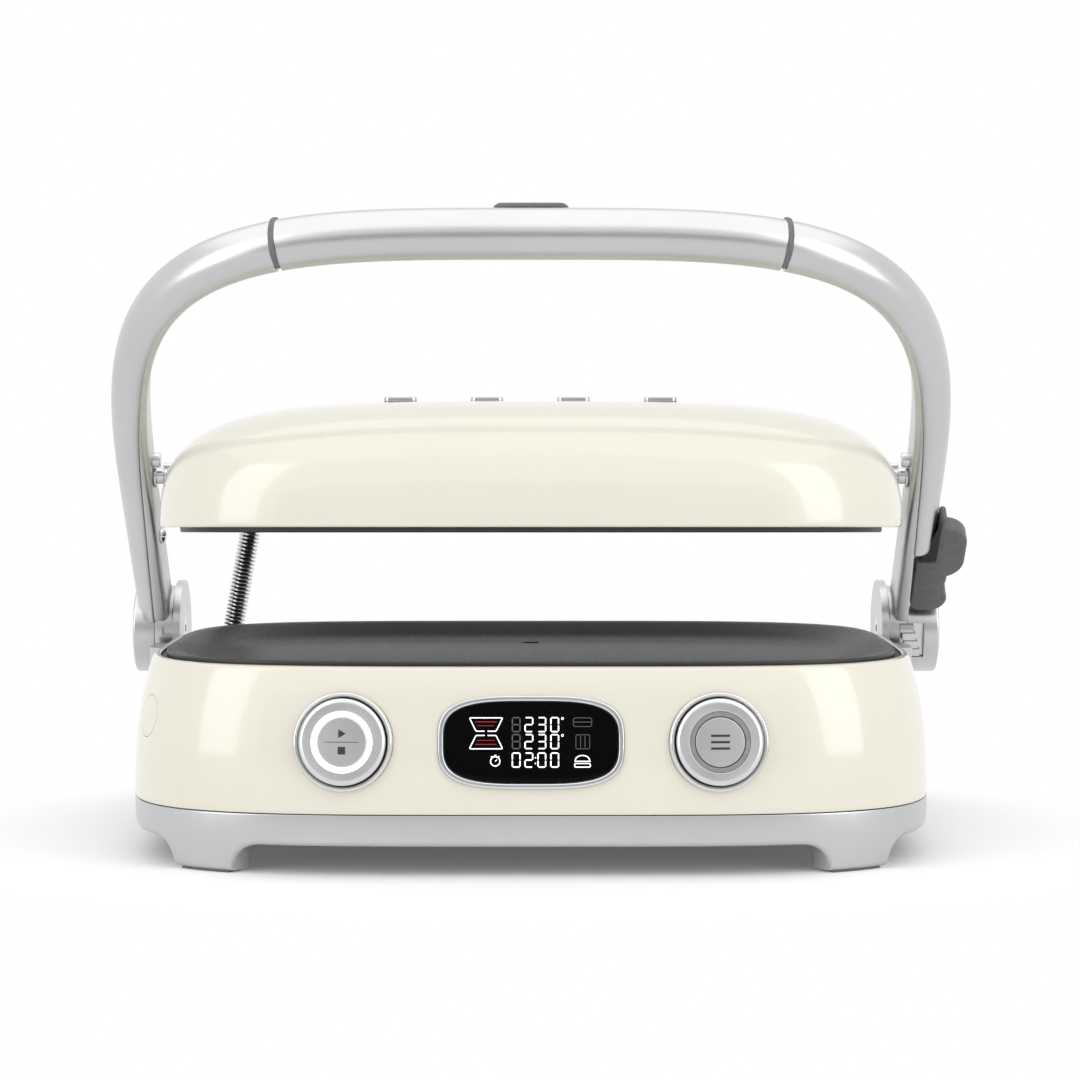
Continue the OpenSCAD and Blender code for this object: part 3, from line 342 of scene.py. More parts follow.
def to_mesh(name, shapes):
    """One mesh from shapes in millimetres."""
    points = []
    faces = []
    count = 0
    for p, f in shapes:
        points.append(p)
        faces += [[n + count for n in face] for face in f] if count else f
        count += len(p)
    mesh = bpy.data.meshes.new(name)
    mesh.from_pydata((np.vstack(points) * MM).tolist(), [], faces)
    mesh.update()
    return mesh


def link(name, mesh):
    """New object for a mesh, at the origin."""
    thing = bpy.data.objects.new(name, mesh)
    bpy.context.scene.collection.objects.link(thing)
    return thing


def carve(name, shapes, cutters, keep="DIFFERENCE"):
    """Mesh of some shapes with others cut out of it, or only what they share (INTERSECT)."""
    body = link(name, to_mesh(name, shapes))
    tools = []
    for n, cutter in enumerate(cutters):
        tools.append(link(f"{name}_cutter_{n}", to_mesh(f"{name}_cutter_{n}", [cutter])))
        step = body.modifiers.new("cut", "BOOLEAN")
        step.operation = keep
        step.solver = "EXACT"
        step.use_self = len(shapes) > 1
        step.object = tools[-1]
    bpy.context.view_layer.update()
    mesh = bpy.data.meshes.new_from_object(body.evaluated_get(bpy.context.evaluated_depsgraph_get()))
    for thing in [body, *tools]:
        bpy.data.objects.remove(thing)
    return mesh


def dressed(name, made, finish, sharp):
    """New object with smooth shading up to an angle, and its finish."""
    mesh = made if isinstance(made, bpy.types.Mesh) else to_mesh(name, made)
    mesh.shade_smooth()
    mesh.set_sharp_from_angle(angle=math.radians(sharp))
    mesh.materials.clear()
    mesh.materials.append(finish)
    return link(name, mesh)


def piece(name, made, finish, body, nodes=(), sharp=35):
    """Shows a finished piece that rides on one body and stands for the nodes given."""
    thing = dressed(name, made, finish, sharp)
    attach(thing, body)
    if nodes:
        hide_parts(*nodes)
    return thing


def spin_marks(thing, place):
    """Stores, for turned metal, each point's direction round the piece's axis and distance from it."""
    mesh = thing.data
    co = np.empty(len(mesh.vertices) * 3, np.float32)
    mesh.vertices.foreach_get("co", co)
    centre = place[:3, 3] * MM
    axis = place[:3, 2]
    arm = co.reshape(-1, 3) - centre
    arm = arm - np.outer(arm @ axis, axis)
    distance = np.linalg.norm(arm, axis=1)
    around = np.cross(axis, arm) / np.maximum(distance, 1e-6)[:, None]
    around_marks = mesh.attributes.new("around", "FLOAT_VECTOR", "POINT").data
    around_marks.foreach_set("vector", around.astype(np.float32).ravel())
    reach_marks = mesh.attributes.new("reach", "FLOAT", "POINT").data
    reach_marks.foreach_set("value", (distance / MM).astype(np.float32))


# ---------- Finishes ----------

def paint(red, green, blue, share=1.0):
    """Linear colour from 0 to 255 values, times a share."""
    values = np.array([red, green, blue]) / 255
    linear = np.where(values <= 0.04045, values / 12.92, ((values + 0.055) / 1.055) ** 2.4)
    return (*(linear * share), 1.0)


def shade(colour, share):
    """A colour times a share, opaque."""
    return tuple(c * share for c in colour[:3]) + (1.0,)


def new_finish(name, colour, roughness, **sockets):
    """Material with a principled shader; sockets are given by their name with _ for a space."""
    material = bpy.data.materials.new(name)
    material.use_nodes = True
    shader = material.node_tree.nodes["Principled BSDF"]
    shader.inputs["Base Color"].default_value = colour
    shader.inputs["Roughness"].default_value = roughness
    for socket, value in sockets.items():
        shader.inputs[socket.replace("_", " ")].default_value = value
    return material


def add_node(material, kind, **settings):
    """New node in a material, its properties set by name."""
    node = material.node_tree.nodes.new(kind)
    for key, value in settings.items():
        setattr(node, key, value)
    return node


def join(material, source, target):
    """Link from one socket to another."""
    material.node_tree.links.new(source, target)


def grain(material, size, stretch=(1, 1, 1), detail=3.0, roughness=0.55):
    """Noise on object coordinates with features about size millimetres wide, stretched along the axes."""
    where = add_node(material, "ShaderNodeTexCoord")
    mapping = add_node(material, "ShaderNodeMapping")
    mapping.inputs["Scale"].default_value = [1000 / size / s for s in stretch]
    noise = add_node(material, "ShaderNodeTexNoise")
    noise.inputs["Scale"].default_value = 1.0
    noise.inputs["Detail"].default_value = detail
    noise.inputs["Roughness"].default_value = roughness
    join(material, where.outputs["Object"], mapping.inputs["Vector"])
    join(material, mapping.outputs["Vector"], noise.inputs["Vector"])
    return noise.outputs["Fac"]


def colour_between(material, fac, low, high, span=(0.3, 0.7)):
    """Base colour that runs from one colour to another as a pattern goes through a span."""
    ramp = add_node(material, "ShaderNodeValToRGB")
    for stop, place, colour in zip(ramp.color_ramp.elements, span, (low, high)):
        stop.position = place
        stop.color = colour
    join(material, fac, ramp.inputs["Fac"])
    join(material, ramp.outputs["Color"], material.node_tree.nodes["Principled BSDF"].inputs["Base Color"])


def roughness_between(material, fac, low, high):
    """Roughness that follows a pattern between two values."""
    spread = add_node(material, "ShaderNodeMapRange")
    spread.inputs["From Min"].default_value = 0.3
    spread.inputs["From Max"].default_value = 0.7
    spread.inputs["To Min"].default_value = low
    spread.inputs["To Max"].default_value = high
    join(material, fac, spread.inputs["Value"])
    join(material, spread.outputs["Result"], material.node_tree.nodes["Principled BSDF"].inputs["Roughness"])


def raised(material, fac, height, strength=1.0):
    """Bump of a height in millimetres."""
    bump = add_node(material, "ShaderNodeBump")
    bump.inputs["Strength"].default_value = strength
    bump.inputs["Distance"].default_value = height * MM
    join(material, fac, bump.inputs["Height"])
    join(material, bump.outputs["Normal"], material.node_tree.nodes["Principled BSDF"].inputs["Normal"])


def enamel(name, colour, roughness=0.16):
    """Glossy enamel: a deep coat with a barely seen orange peel and a slow drift in tone."""
    material = new_finish(name, colour, roughness, Coat_Weight=0.5, Coat_Roughness=0.04, IOR=1.5)
    low = shade(colour, 0.985)
    colour_between(material, grain(material, 60, detail=2.0), low, colour)
    roughness_between(material, grain(material, 25), roughness - 0.02, roughness + 0.02)
    raised(material, grain(material, 1.6, detail=1.0), 0.004, 0.5)
    return material


def cast_metal(name, colour, roughness=0.3, grain_size=0.35, stretch=(1, 1, 1)):
    """Satin metal: fine blasted grain, with cloudy changes in tone and polish."""
    material = new_finish(name, colour, roughness, Metallic=1.0)
    low = shade(colour, 0.97)
    colour_between(material, grain(material, 45, detail=1.0), low, colour)
    roughness_between(material, grain(material, 14, stretch, 1.0), roughness - 0.015, roughness + 0.02)
    raised(material, grain(material, grain_size, stretch, detail=2.0), 0.006, 0.35)
    return material


def drawn_metal(name, colour, roughness, along=0):
    """Brushed metal: hairlines stretched along one axis."""
    stretch = [1.0, 1.0, 1.0]
    stretch[along] = 40.0
    return cast_metal(name, colour, roughness, 0.25, tuple(stretch))


def turned_metal(name, colour, roughness=0.24, anisotropy=0.75):
    """Face-turned metal: fine rings round the axis, and highlights that fan out across them."""
    material = new_finish(name, colour, roughness, Metallic=1.0, Anisotropic=anisotropy)
    around = add_node(material, "ShaderNodeAttribute", attribute_name="around")
    to_world = add_node(material, "ShaderNodeVectorTransform", vector_type="VECTOR")
    to_world.convert_from = "OBJECT"
    to_world.convert_to = "WORLD"
    reach = add_node(material, "ShaderNodeAttribute", attribute_name="reach")
    rings = add_node(material, "ShaderNodeTexNoise", noise_dimensions="1D")
    rings.inputs["Scale"].default_value = 9.0
    rings.inputs["Detail"].default_value = 3.0
    join(material, around.outputs["Vector"], to_world.inputs["Vector"])
    join(material, to_world.outputs["Vector"], material.node_tree.nodes["Principled BSDF"].inputs["Tangent"])
    join(material, reach.outputs["Fac"], rings.inputs["W"])
    low = shade(colour, 0.88)
    colour_between(material, rings.outputs["Fac"], low, colour)
    raised(material, rings.outputs["Fac"], 0.01, 0.3)
    return material


def coated(name, colour, roughness, grain_size, height=0.02, shift=0.8):
    """Matt or satin coat, rubber or plastic: even grain with a little change in tone."""
    material = new_finish(name, colour, roughness)
    low = shade(colour, shift)
    colour_between(material, grain(material, grain_size * 12, detail=3.0), low, colour)
    roughness_between(material, grain(material, grain_size * 5), roughness - 0.06, roughness + 0.06)
    raised(material, grain(material, grain_size, detail=2.0), height, 0.5)
    return material


def glowing(name, colour, strength):
    """Lit mark or lamp, a little uneven as through a diffuser."""
    material = new_finish(name, colour, 0.4, Emission_Strength=strength)
    shader = material.node_tree.nodes["Principled BSDF"]
    shader.inputs["Emission Color"].default_value = colour
    low = shade(colour, 0.94)
    colour_between(material, grain(material, 2.0), low, colour)
    return material


CREAM = enamel("cream_enamel", paint(237, 233, 218))
METAL = cast_metal("satin_cast_metal", paint(202, 203, 204), 0.3)
FRAME_METAL = cast_metal("foot_ring_metal", paint(200, 201, 202), 0.3)
LINER_METAL = cast_metal("liner_metal", paint(214, 215, 216), 0.4)
PIN_STEEL = drawn_metal("pin_steel", paint(208, 209, 211), 0.2)
CHROME = drawn_metal("bright_steel", paint(224, 225, 227), 0.12)
DIAL_METAL = turned_metal("turned_dial_metal", paint(222, 222, 222), 0.3)
BUTTON_METAL = cast_metal("button_metal", paint(196, 197, 197), 0.42, 0.3)
BEZEL_STEEL = turned_metal("turned_bezel_steel", paint(232, 232, 232), 0.1, 0.4)
LEVER_PLASTIC = coated("lever_plastic", paint(104, 105, 107), 0.5, 0.35)
RING_PLASTIC = coated("handle_ring_plastic", paint(112, 113, 115), 0.5, 0.4)
RUBBER = coated("rubber", paint(120, 121, 123), 0.7, 0.5)
NON_STICK = coated("non_stick_coat", paint(58, 58, 59), 0.42, 0.4, 0.03, 0.85)
BLACK_METAL = coated("black_satin_metal", paint(34, 34, 35), 0.45, 0.4)
BLACK_PLASTIC = coated("black_plastic", paint(30, 30, 31), 0.5, 0.4)
GLASS = new_finish("black_display_glass", paint(3, 3, 4), 0.06, Specular_IOR_Level=0.08, IOR=1.5)
raised(GLASS, grain(GLASS, 40.0), 0.01, 0.1)
LIGHT = glowing("white_light_ring", (1.0, 1.0, 1.0, 1.0), 1.1)
UNLIT = coated("unlit_ring_plastic", paint(150, 151, 152), 0.4, 0.3)
LIT_MARK = glowing("lit_mark", (0.95, 0.96, 1.0, 1.0), 0.9)
DIM_MARK = glowing("dim_mark", paint(70, 72, 76), 0.6)
RED_MARK = glowing("red_mark", paint(140, 24, 24), 0.8)
PRINT = coated("dark_print", paint(52, 54, 56), 0.5, 0.2)
BOARD = coated("board_green", paint(38, 96, 62), 0.5, 0.5)
HOT_STEEL = cast_metal("reflector_steel", paint(186, 187, 189), 0.35)


# ---------- Body: shell, foot ring, plates ----------

TURNS = plan_turns(ROUND_STEPS)


def draw_in(z):
    """How far the shell stands in at a height: its whole draw times the share of the height, to a power."""
    return SHELL_DRAW * (np.maximum(0, z - SEAM_Z) / SHELL_H) ** SHELL_DRAW_POWER


def lean(z):
    """Angle of the shell's side from upright, in degrees: the slope of draw_in."""
    slope = SHELL_DRAW * SHELL_DRAW_POWER / SHELL_H
    return math.degrees(math.atan(slope * (max(0, z - SEAM_Z) / SHELL_H) ** (SHELL_DRAW_POWER - 1)))


def plan_y(x, half_w, half_d, power=CORNER_POWER):
    """Half depth of a superellipse at x."""
    return half_d * (1 - (abs(x) / half_w) ** power) ** (1 / power)


def plan_azimuth(x, y, half_w, half_d, power=CORNER_POWER):
    """Direction of a superellipse's outward normal at a point, in degrees: its gradient's angle."""
    up = signed_power(y, power - 1) / half_d ** power
    return math.degrees(math.atan2(up, signed_power(x, power - 1) / half_w ** power))


def on_front(x, z):
    """Place on the shell's front: local z out of the face, y up it."""
    y = plan_y(x, BODY_HALF_W - draw_in(z), BODY_HALF_D - draw_in(z))
    yaw = 90 + plan_azimuth(x, -y, BODY_HALF_W, BODY_HALF_D)
    return move(x, -y, z) @ turn(2, yaw) @ turn(0, 90 - lean(z))


def on_rear(x, z):
    """Place on the shell's rear: the front's, mirrored."""
    return np.diag([1.0, -1.0, 1.0, 1.0]) @ on_front(x, z)


RELEASE_Z = SEAM_Z + 42
RELEASE_Y = -0.65 * BODY_HALF_D
half_w_there = BODY_HALF_W - draw_in(RELEASE_Z)
half_d_there = BODY_HALF_D - draw_in(RELEASE_Z)
release_x = -plan_y(RELEASE_Y, half_d_there, half_w_there)
ON_LEFT_SIDE = (move(release_x, RELEASE_Y, RELEASE_Z)
                @ turn(2, plan_azimuth(release_x, RELEASE_Y, half_w_there, half_d_there))
                @ turn(1, 90 - lean(RELEASE_Z)))
ON_DIALS = {"start": on_front(-DIAL_X, PANEL_Z), "menu": on_front(DIAL_X, PANEL_Z)}
ON_DISPLAY = on_front(0, PANEL_Z)
TRAY_HALF_W = 85.0
TRAY_Z0 = SEAM_Z + 4.0
TRAY_Z1 = TRAY_Z0 + 16.0
MAINS = on_rear(130.0, SEAM_Z + 16.0)


def shell_side():
    """Outer side of the shell as (inset, height): draw_in, then a quarter round that starts at its slope."""
    start_turn = math.radians(lean(RIM_Z - 2))
    start_z = RIM_Z - RIM_ROUND * (1 - math.sin(start_turn))
    z = np.linspace(SEAM_Z + 0.9, start_z, 30)
    t = np.linspace(start_turn, np.pi / 2, 9)[1:]
    roll = draw_in(start_z) + RIM_ROUND * (math.cos(start_turn) - np.cos(t))
    return np.r_[np.c_[draw_in(z), z], np.c_[roll, start_z + RIM_ROUND * (np.sin(t) - math.sin(start_turn))]]


def body_solid(outline, loop=False):
    """Solid of (inset, height) points round the body's plan."""
    return solid(plan_rings(outline, BODY_HALF_W, BODY_HALF_D, TURNS), loop=loop)


def display_solid(outline, loop=False):
    """Solid that follows the display's own superellipse, from (inset, height) points."""
    turns = plan_turns(DISPLAY_STEPS, DISPLAY_HALF_W, DISPLAY_HALF_H, DISPLAY_POWER)
    rings = plan_rings(outline, DISPLAY_HALF_W, DISPLAY_HALF_H, turns, DISPLAY_POWER)
    return solid(placed(ON_DISPLAY, rings), loop=loop)


def lower_shell():
    """Body shell with its holes for dials, display, release button, drip tray and lead."""
    top = [(OPENING_INSET - 0.5, RIM_Z), (OPENING_INSET, RIM_Z - 0.5), (OPENING_INSET, RIM_Z - RIM_ROUND)]
    z = np.linspace(RIM_Z - 2 * RIM_ROUND, SEAM_Z, 12)
    inner = np.c_[draw_in(z) + SHELL_WALL, z]
    foot = [(1.1, SEAM_Z), (0.35, SEAM_Z + 0.25)]
    outline = np.vstack([foot, shell_side(), top, inner])
    cutters = []
    for place in ON_DIALS.values():
        cutters.append(rod(BEZEL_R + SEAT, -PANEL_SEAT, 4, place, 0.01, LATHE_STEPS))
        cutters.append(rod(BEZEL_NECK_R + SEAT, -12, 0, place, 0.01, LATHE_STEPS))
    cutters.append(display_solid([(-SEAT, -PANEL_SEAT), (-SEAT, 4)]))
    cutters.append(display_solid([(1.4 - SEAT, -12), (1.4 - SEAT, 0)]))
    cutters.append(rod(RELEASE_R + SEAT, -12, 6, ON_LEFT_SIDE, 0.01, 96))
    half = TRAY_HALF_W + SEAT
    cutters.append(block((-half, 0, TRAY_Z0 - SEAT), (half, BODY_HALF_D + 1, TRAY_Z1 + SEAT)))
    cutters.append(rod(7 + SEAT, -9, 6, MAINS, 0.01))
    return carve("body_shell", [body_solid(outline, loop=True)], cutters)


def foot_ring():
    """Cast ring and its four feet. Round the plan, a section of (inset, height) corners grows from the
    ring's to a foot's by the share 1 - sqrt(1 - (1 - off)^2), where off is the turn past the foot over
    the fillet's turn."""
    flank = 1 - np.cos(np.linspace(0, np.pi / 2, 16))
    near = np.r_[FOOT_FROM - FILLET_TURN * flank, FOOT_TO + FILLET_TURN * flank]
    turns = np.unique(np.round(np.r_[np.degrees(TURNS), near, 180 - near, 180 + near, 360 - near], 2))
    quadrant = np.where(turns % 180 > 90, 180 - turns % 180, turns % 180)
    off = np.maximum(np.maximum(FOOT_FROM - quadrant, quadrant - FOOT_TO), 0) / FILLET_TURN
    share = np.where(off >= 1, 0, 1 - np.sqrt(np.maximum(0, 1 - (1 - np.minimum(off, 1)) ** 2)))
    low = FOOT_GAP + (PAD_H - FOOT_GAP) * share
    depth = RING_WALL + RING_LIP + (FOOT_DEPTH - RING_WALL - RING_LIP) * share
    taper = 0.8 + FOOT_TAPER * share
    same = np.zeros_like(share)
    shelf = FOOT_GAP + RING_LIP
    corners = [
        (same, same + SEAM_Z - SEAT), (same + 0.3, same + FOOT_GAP + 4), (taper, low + 1.6),
        (taper + 1.4, low), (depth - 0.8, low), (depth, low + 0.8), (depth, same + shelf),
        (same + RING_WALL, same + shelf),
        (same + RING_WALL, same + SEAM_Z - SEAT),
    ]
    radii = [0.7, 3.0, 1.0, 0.8, 0.5, 0.5, 0.5, 0.5, 0.5]
    section = rounded(np.stack([np.stack(c, -1) for c in corners]), radii)
    inset, height = section[..., 0], section[..., 1]
    x, y = plan(np.radians(turns)[None, :], BODY_HALF_W - inset, BODY_HALF_D - inset, CORNER_POWER)
    return solid(np.stack([x, y, height], -1), loop=True)


def lower_plate():
    """Cooking plate: a dish with a sloping surround, its fat drain and the spout below."""
    pan = 10.5
    slope = PLATE_SLOPE
    corners = [
        (pan + 3, PLATE_FLOOR_Z - 5), (pan, PLATE_FLOOR_Z - 2), (pan, FRAME_TOP + SEAT),
        (0, FRAME_TOP + SEAT), (0, PLATE_RIM_Z), (3.6, PLATE_RIM_Z), (slope - 3, PLATE_FLOOR_Z + 1.1),
        (slope + 5, PLATE_FLOOR_Z),
        (slope + 8, PLATE_FLOOR_Z),
    ]
    outline = rounded(corners, [0, 1, 1, 0.6, 0.9, 2.4, 6, 5, 0], 7, closed=False)
    outline[:, 0] += PLATE_INSET
    dish = body_solid(outline)
    spout = rod(7, TRAY_Z1 + 8, PLATE_FLOOR_Z - 4, move(0, DRAIN_Y, 0))
    drain = rod(5, TRAY_Z1, PLATE_RIM_Z, move(0, DRAIN_Y, 0), 0.01)
    return carve("cooking_plate", [dish, spout], [drain])


def plate_frame():
    """Black frame that carries the plate: a flange under its rim, a skirt and a foot, in one section."""
    skirt = PLATE_INSET + 6.5
    low = RIM_Z - 34
    edge = OPENING_INSET + SEAT
    corners = [
        (edge, FRAME_TOP), (skirt + 3, FRAME_TOP), (skirt + 3, low + 2), (skirt + 10, low + 2),
        (skirt + 10, low), (skirt, low), (skirt, FRAME_TOP - 3), (edge, FRAME_TOP - 3),
    ]
    return body_solid(rounded(corners, 0.5, 4), loop=True)


# ---------- Lid ----------


def dome_rings(inset, rise, turns=TURNS):
    """Rings of the dome. With v the share of the height, half axes times (1 - v^3)^(1/4.6), and the plan's
    power 4 - 0.9 v^2. rise is an angle with v = sin(rise)^(2/3), so that the rings lie even over the top."""
    v = np.sin(rise)[:, None] ** (2 / 3)
    scale = np.cos(rise)[:, None] ** (2 / DOME_POWER)
    power = CORNER_POWER - DOME_SOFTENING * v ** 2
    x, y = plan(turns[None, :], (LID_HALF_W - inset) * scale, (LID_HALF_D - inset) * scale, power)
    return np.stack([x, y, np.broadcast_to((LID_H - inset) * v, x.shape)], -1)


def dome_x(y, z):
    """Half width of the dome at a depth and a height."""
    v = z / LID_H
    scale = (1 - v ** 3) ** (1 / DOME_POWER)
    power = CORNER_POWER - DOME_SOFTENING * v ** 2
    return LID_HALF_W * scale * (1 - (abs(y) / (LID_HALF_D * scale)) ** power) ** (1 / power)


DOME_FROM_Z = 1.6
DOME_RISE = even_steps(lambda a: (LID_HALF_W * np.cos(a) ** (2 / DOME_POWER), LID_H * np.sin(a) ** (2 / 3)),
                       math.asin((DOME_FROM_Z / LID_H) ** 1.5), np.pi / 2, 64, whole=False)
UPPER_RELEASE_Z = 26.0
UPPER_RELEASE_Y = -62.0
UPPER_RELEASE_LEAN = 72.0
upper_release_x = -dome_x(UPPER_RELEASE_Y, UPPER_RELEASE_Z)
ON_LID_LEFT = (IN_LID @ move(upper_release_x, UPPER_RELEASE_Y, UPPER_RELEASE_Z)
               @ turn(2, plan_azimuth(upper_release_x, UPPER_RELEASE_Y, LID_HALF_W, LID_HALF_D))
               @ turn(1, UPPER_RELEASE_LEAN))
TOP_PADS = [-67.0, -22.6, 21.8, 66.4]
TOP_PAD_Y = -50.0
TOP_PAD_L = 17.0
TOP_PAD_W = 6.0


def lid_shell():
    """Domed lid with a thin wall, a rounded lower edge, pin holes, a button hole and four pad pockets."""
    edge = [(LID_WALL, 1.2), (LID_WALL - 0.5, 0.3), (LID_WALL - 1.1, 0), (1.2, 0), (0.5, 0.25), (0.12, 0.8)]
    lip = plan_rings(edge, LID_HALF_W, LID_HALF_D, TURNS)
    grid = np.concatenate([dome_rings(LID_WALL, DOME_RISE)[::-2], lip, dome_rings(0, DOME_RISE)])
    tips = [placed(IN_LID, np.array([0, 0, h])) for h in (LID_H - LID_WALL, LID_H)]
    cutters = [rod(PIVOT_R + 2, -LID_HALF_W - 1, LID_HALF_W + 1,
                   on_axis_x(IN_LID, 0, LID_PIVOT_Y, LID_PIVOT_H), 0.01, 96)]
    cutters.append(rod(RELEASE_R + SEAT, -14, 8, ON_LID_LEFT, 0.01, 96))
    for x in TOP_PADS:
        pocket = round_bar(TOP_PAD_L + 0.4, TOP_PAD_W + 0.4)
        cutters.append(slab(pocket, LID_H - 1.0, LID_H + 3, IN_LID @ move(x, TOP_PAD_Y, 0), 0.01, 1))
    return carve("lid_shell", [solid(placed(IN_LID, grid), *tips)], cutters)


def lid_rings(corners, radii, steps=4, loop=False):
    """Solid of (inset, height) corners round the lid's plan."""
    outline = rounded(corners, radii, steps, closed=loop)
    return solid(placed(IN_LID, plan_rings(outline, LID_HALF_W, LID_HALF_D, TURNS)), loop=loop)


def upper_plate():
    """Ribbed plate: a slab with a rounded rim below it, and rounded ribs from front to rear."""
    rim = UPPER_BORDER + 5
    low = -UPPER_PROUD
    slab_top = 6.2
    corners = [(UPPER_BORDER + 2, slab_top), (UPPER_BORDER, slab_top), (UPPER_BORDER, low), (rim, low),
               (rim, 0.4), (rim + 4, 0.4)]
    shapes = [lid_rings(corners, [0, 0.6, 1.0, 1.0, 0.8, 0])]
    inside = rim + 3
    count = int((LID_HALF_W - UPPER_BORDER - 8) // RIB_PITCH)
    section = rounded([(-RIB_W / 2 - 0.3, 0.5), (-RIB_W / 2 + 0.3, low + 0.2), (RIB_W / 2 - 0.3, low + 0.2),
                       (RIB_W / 2 + 0.3, 0.5)], [0, 0.8, 0.8, 0], 4, closed=False)
    for k in range(-count, count + 1):
        x = k * RIB_PITCH
        reach = plan_y(abs(x) + RIB_W / 2, LID_HALF_W - inside, LID_HALF_D - inside)
        y = np.array([-reach, -reach + 0.3, -reach + 1.2, reach - 1.2, reach - 0.3, reach])
        drop = np.array([0.25, 0.75, 1, 1, 0.75, 0.25])
        z = 0.5 + (section[None, :, 1] - 0.5) * drop[:, None]
        row_x = np.broadcast_to(x + section[None, :, 0], z.shape)
        row_y = np.broadcast_to(y[:, None], z.shape)
        shapes.append(solid(placed(IN_LID, np.stack([row_x, row_y, z], -1))))
    return shapes


# ---------- Arms and handle ----------


def arch(t):
    """Outer edge of the handle: x = half width |cos|^(2/3.7), s = start + rise sin^(2/3.7)."""
    s = ARCH_START + ARCH_RISE * np.abs(np.sin(t)) ** (2 / ARCH_POWER)
    return ARCH_HALF_W * signed_power(np.cos(t), 2 / ARCH_POWER), s


def arch_x(s):
    """Outer edge's x at a distance s along the arm."""
    up = np.maximum(0, s - ARCH_START) / ARCH_RISE
    return ARCH_HALF_W * (1 - up ** ARCH_POWER) ** (1 / ARCH_POWER)


def section_share(s):
    """Share of the way from the arm's section at the hinge to the grip's."""
    return np.clip((s - DRUM_R) / (0.55 * ARCH_REACH), 0, 1)


def band_at(s):
    """Thickness of the outer band."""
    return BAND_T + (GRIP_BAND_T - BAND_T) * section_share(s)


def total_at(s):
    """Thickness of band and liner together."""
    return ARM_T + (GRIP_T - ARM_T) * section_share(s)


def stations(start, end, count, foot=()):
    """Stations as (x, s, normal x, normal s): straight ones at the given s, then even ones along the arch."""
    t = even_steps(arch, start, end, count)
    x, s = arch(t)
    power = 2 - 2 / ARCH_POWER
    nx = signed_power(np.where(np.abs(np.cos(t)) < 1e-4, 1e-4, np.cos(t)), power) / ARCH_HALF_W
    ns = np.maximum(np.sin(t), 1e-4) ** power / ARCH_RISE
    length = np.hypot(nx, ns)
    curve = np.stack([x, s, nx / length, ns / length], -1)
    line = np.array([(ARCH_HALF_W, s, 1.0, 0.0) for s in foot]).reshape(-1, 4)
    return np.vstack([line, curve])


def band_section(s, width=1.0, depth=1.0, steps=36):
    """D of the outer band: a half superellipse of power 2.5, with its two flat-side corners broken."""
    t = (depth * band_at(s))[:, None]
    b = (width * HANDLE_W / 2 + 0 * s)[:, None]
    far = np.arccos(np.clip(0.5 / t, 0, 1) ** (BAND_POWER / 2))
    a = np.linspace(-1, 1, steps)[None, :] * far
    out = t * (np.abs(np.cos(a)) ** (2 / BAND_POWER) - 1)
    curve = np.stack([out, b * signed_power(np.sin(a), 2 / BAND_POWER)], -1)
    flat = 0 * b
    high = [np.stack([flat - t + 0.14, b - 0.13], -1), np.stack([flat - t, b - 0.5], -1)]
    low = [np.stack([flat - t, 0.5 - b], -1), np.stack([flat - t + 0.14, 0.13 - b], -1)]
    return np.concatenate([curve, *high, *low], 1)


def liner_section(s):
    """Flat strip inside the band: six corners, the outer edges bevelled and all rounded."""
    t = band_at(s) + 0.05
    e = total_at(s)
    b = HANDLE_W / 2 + 0 * s
    corners = [(-t, b - 0.9), (-e + 2, b - 1.3), (-e, b - 3.5),
               (-e, 3.5 - b), (-e + 2, 1.3 - b), (-t, 0.9 - b)]
    outline = rounded(np.stack([np.stack(c, -1) for c in corners]), [0.3, 1.2, 1.2, 1.2, 1.2, 0.3])
    return np.swapaxes(outline, 0, 1)


def carried(run, section, cope=False, side=1):
    """Section carried along the arch: point + normal times the section's first value, its second across.
    A coped run starts just clear of the drum: s = sqrt((drum radius + gap)^2 - h^2)."""
    x = run[:, None, 0] + run[:, None, 2] * section[..., 0]
    s = run[:, None, 1] + run[:, None, 3] * section[..., 0]
    h = section[..., 1] + 0 * x
    if cope:
        s[0] = np.sqrt((DRUM_R + COPE_GAP) ** 2 - h[0] ** 2)
    grid = placed(IN_ARM, np.stack([x, -s, h], -1))
    return solid(grid if side > 0 else placed(MIRROR_X, grid))


RING_TURN = math.acos((GRIP_HALF_W / ARCH_HALF_W) ** (ARCH_POWER / 2))
RING_REACH = math.acos(((GRIP_HALF_W - RING_HALF_W) / ARCH_HALF_W) ** (ARCH_POWER / 2)) - RING_TURN
FOOT_STATIONS = [DRUM_R, 27, 34, 44, 56, 68, 80]
ARM_RUN = stations(0, RING_TURN - RING_REACH, 90, FOOT_STATIONS)
GRIP_RUN = stations(RING_TURN + RING_REACH, np.pi - RING_TURN - RING_REACH, 100)


def right_band():
    """Outer band of the right arm: its free end narrows and thins by quarter ellipses over its tip."""
    u = np.array([0.0, 0.03, 0.1, 0.2, 0.35, 0.55, 0.8, 1.0])
    swell = np.sqrt(1 - (1 - u) ** 2)
    depth = 0.7 + 0.3 * swell
    foot = RIGHT_BAND_START + BAND_TIP * u
    run = stations(0, RING_TURN - RING_REACH, 90, foot)
    rest = np.ones(len(run) - len(u))
    run[:len(u), 0] = ARCH_HALF_W - (1 - depth) * BAND_T
    section = band_section(run[:, 1], np.r_[0.6 + 0.4 * swell, rest], np.r_[depth, rest])
    return carried(run, section)


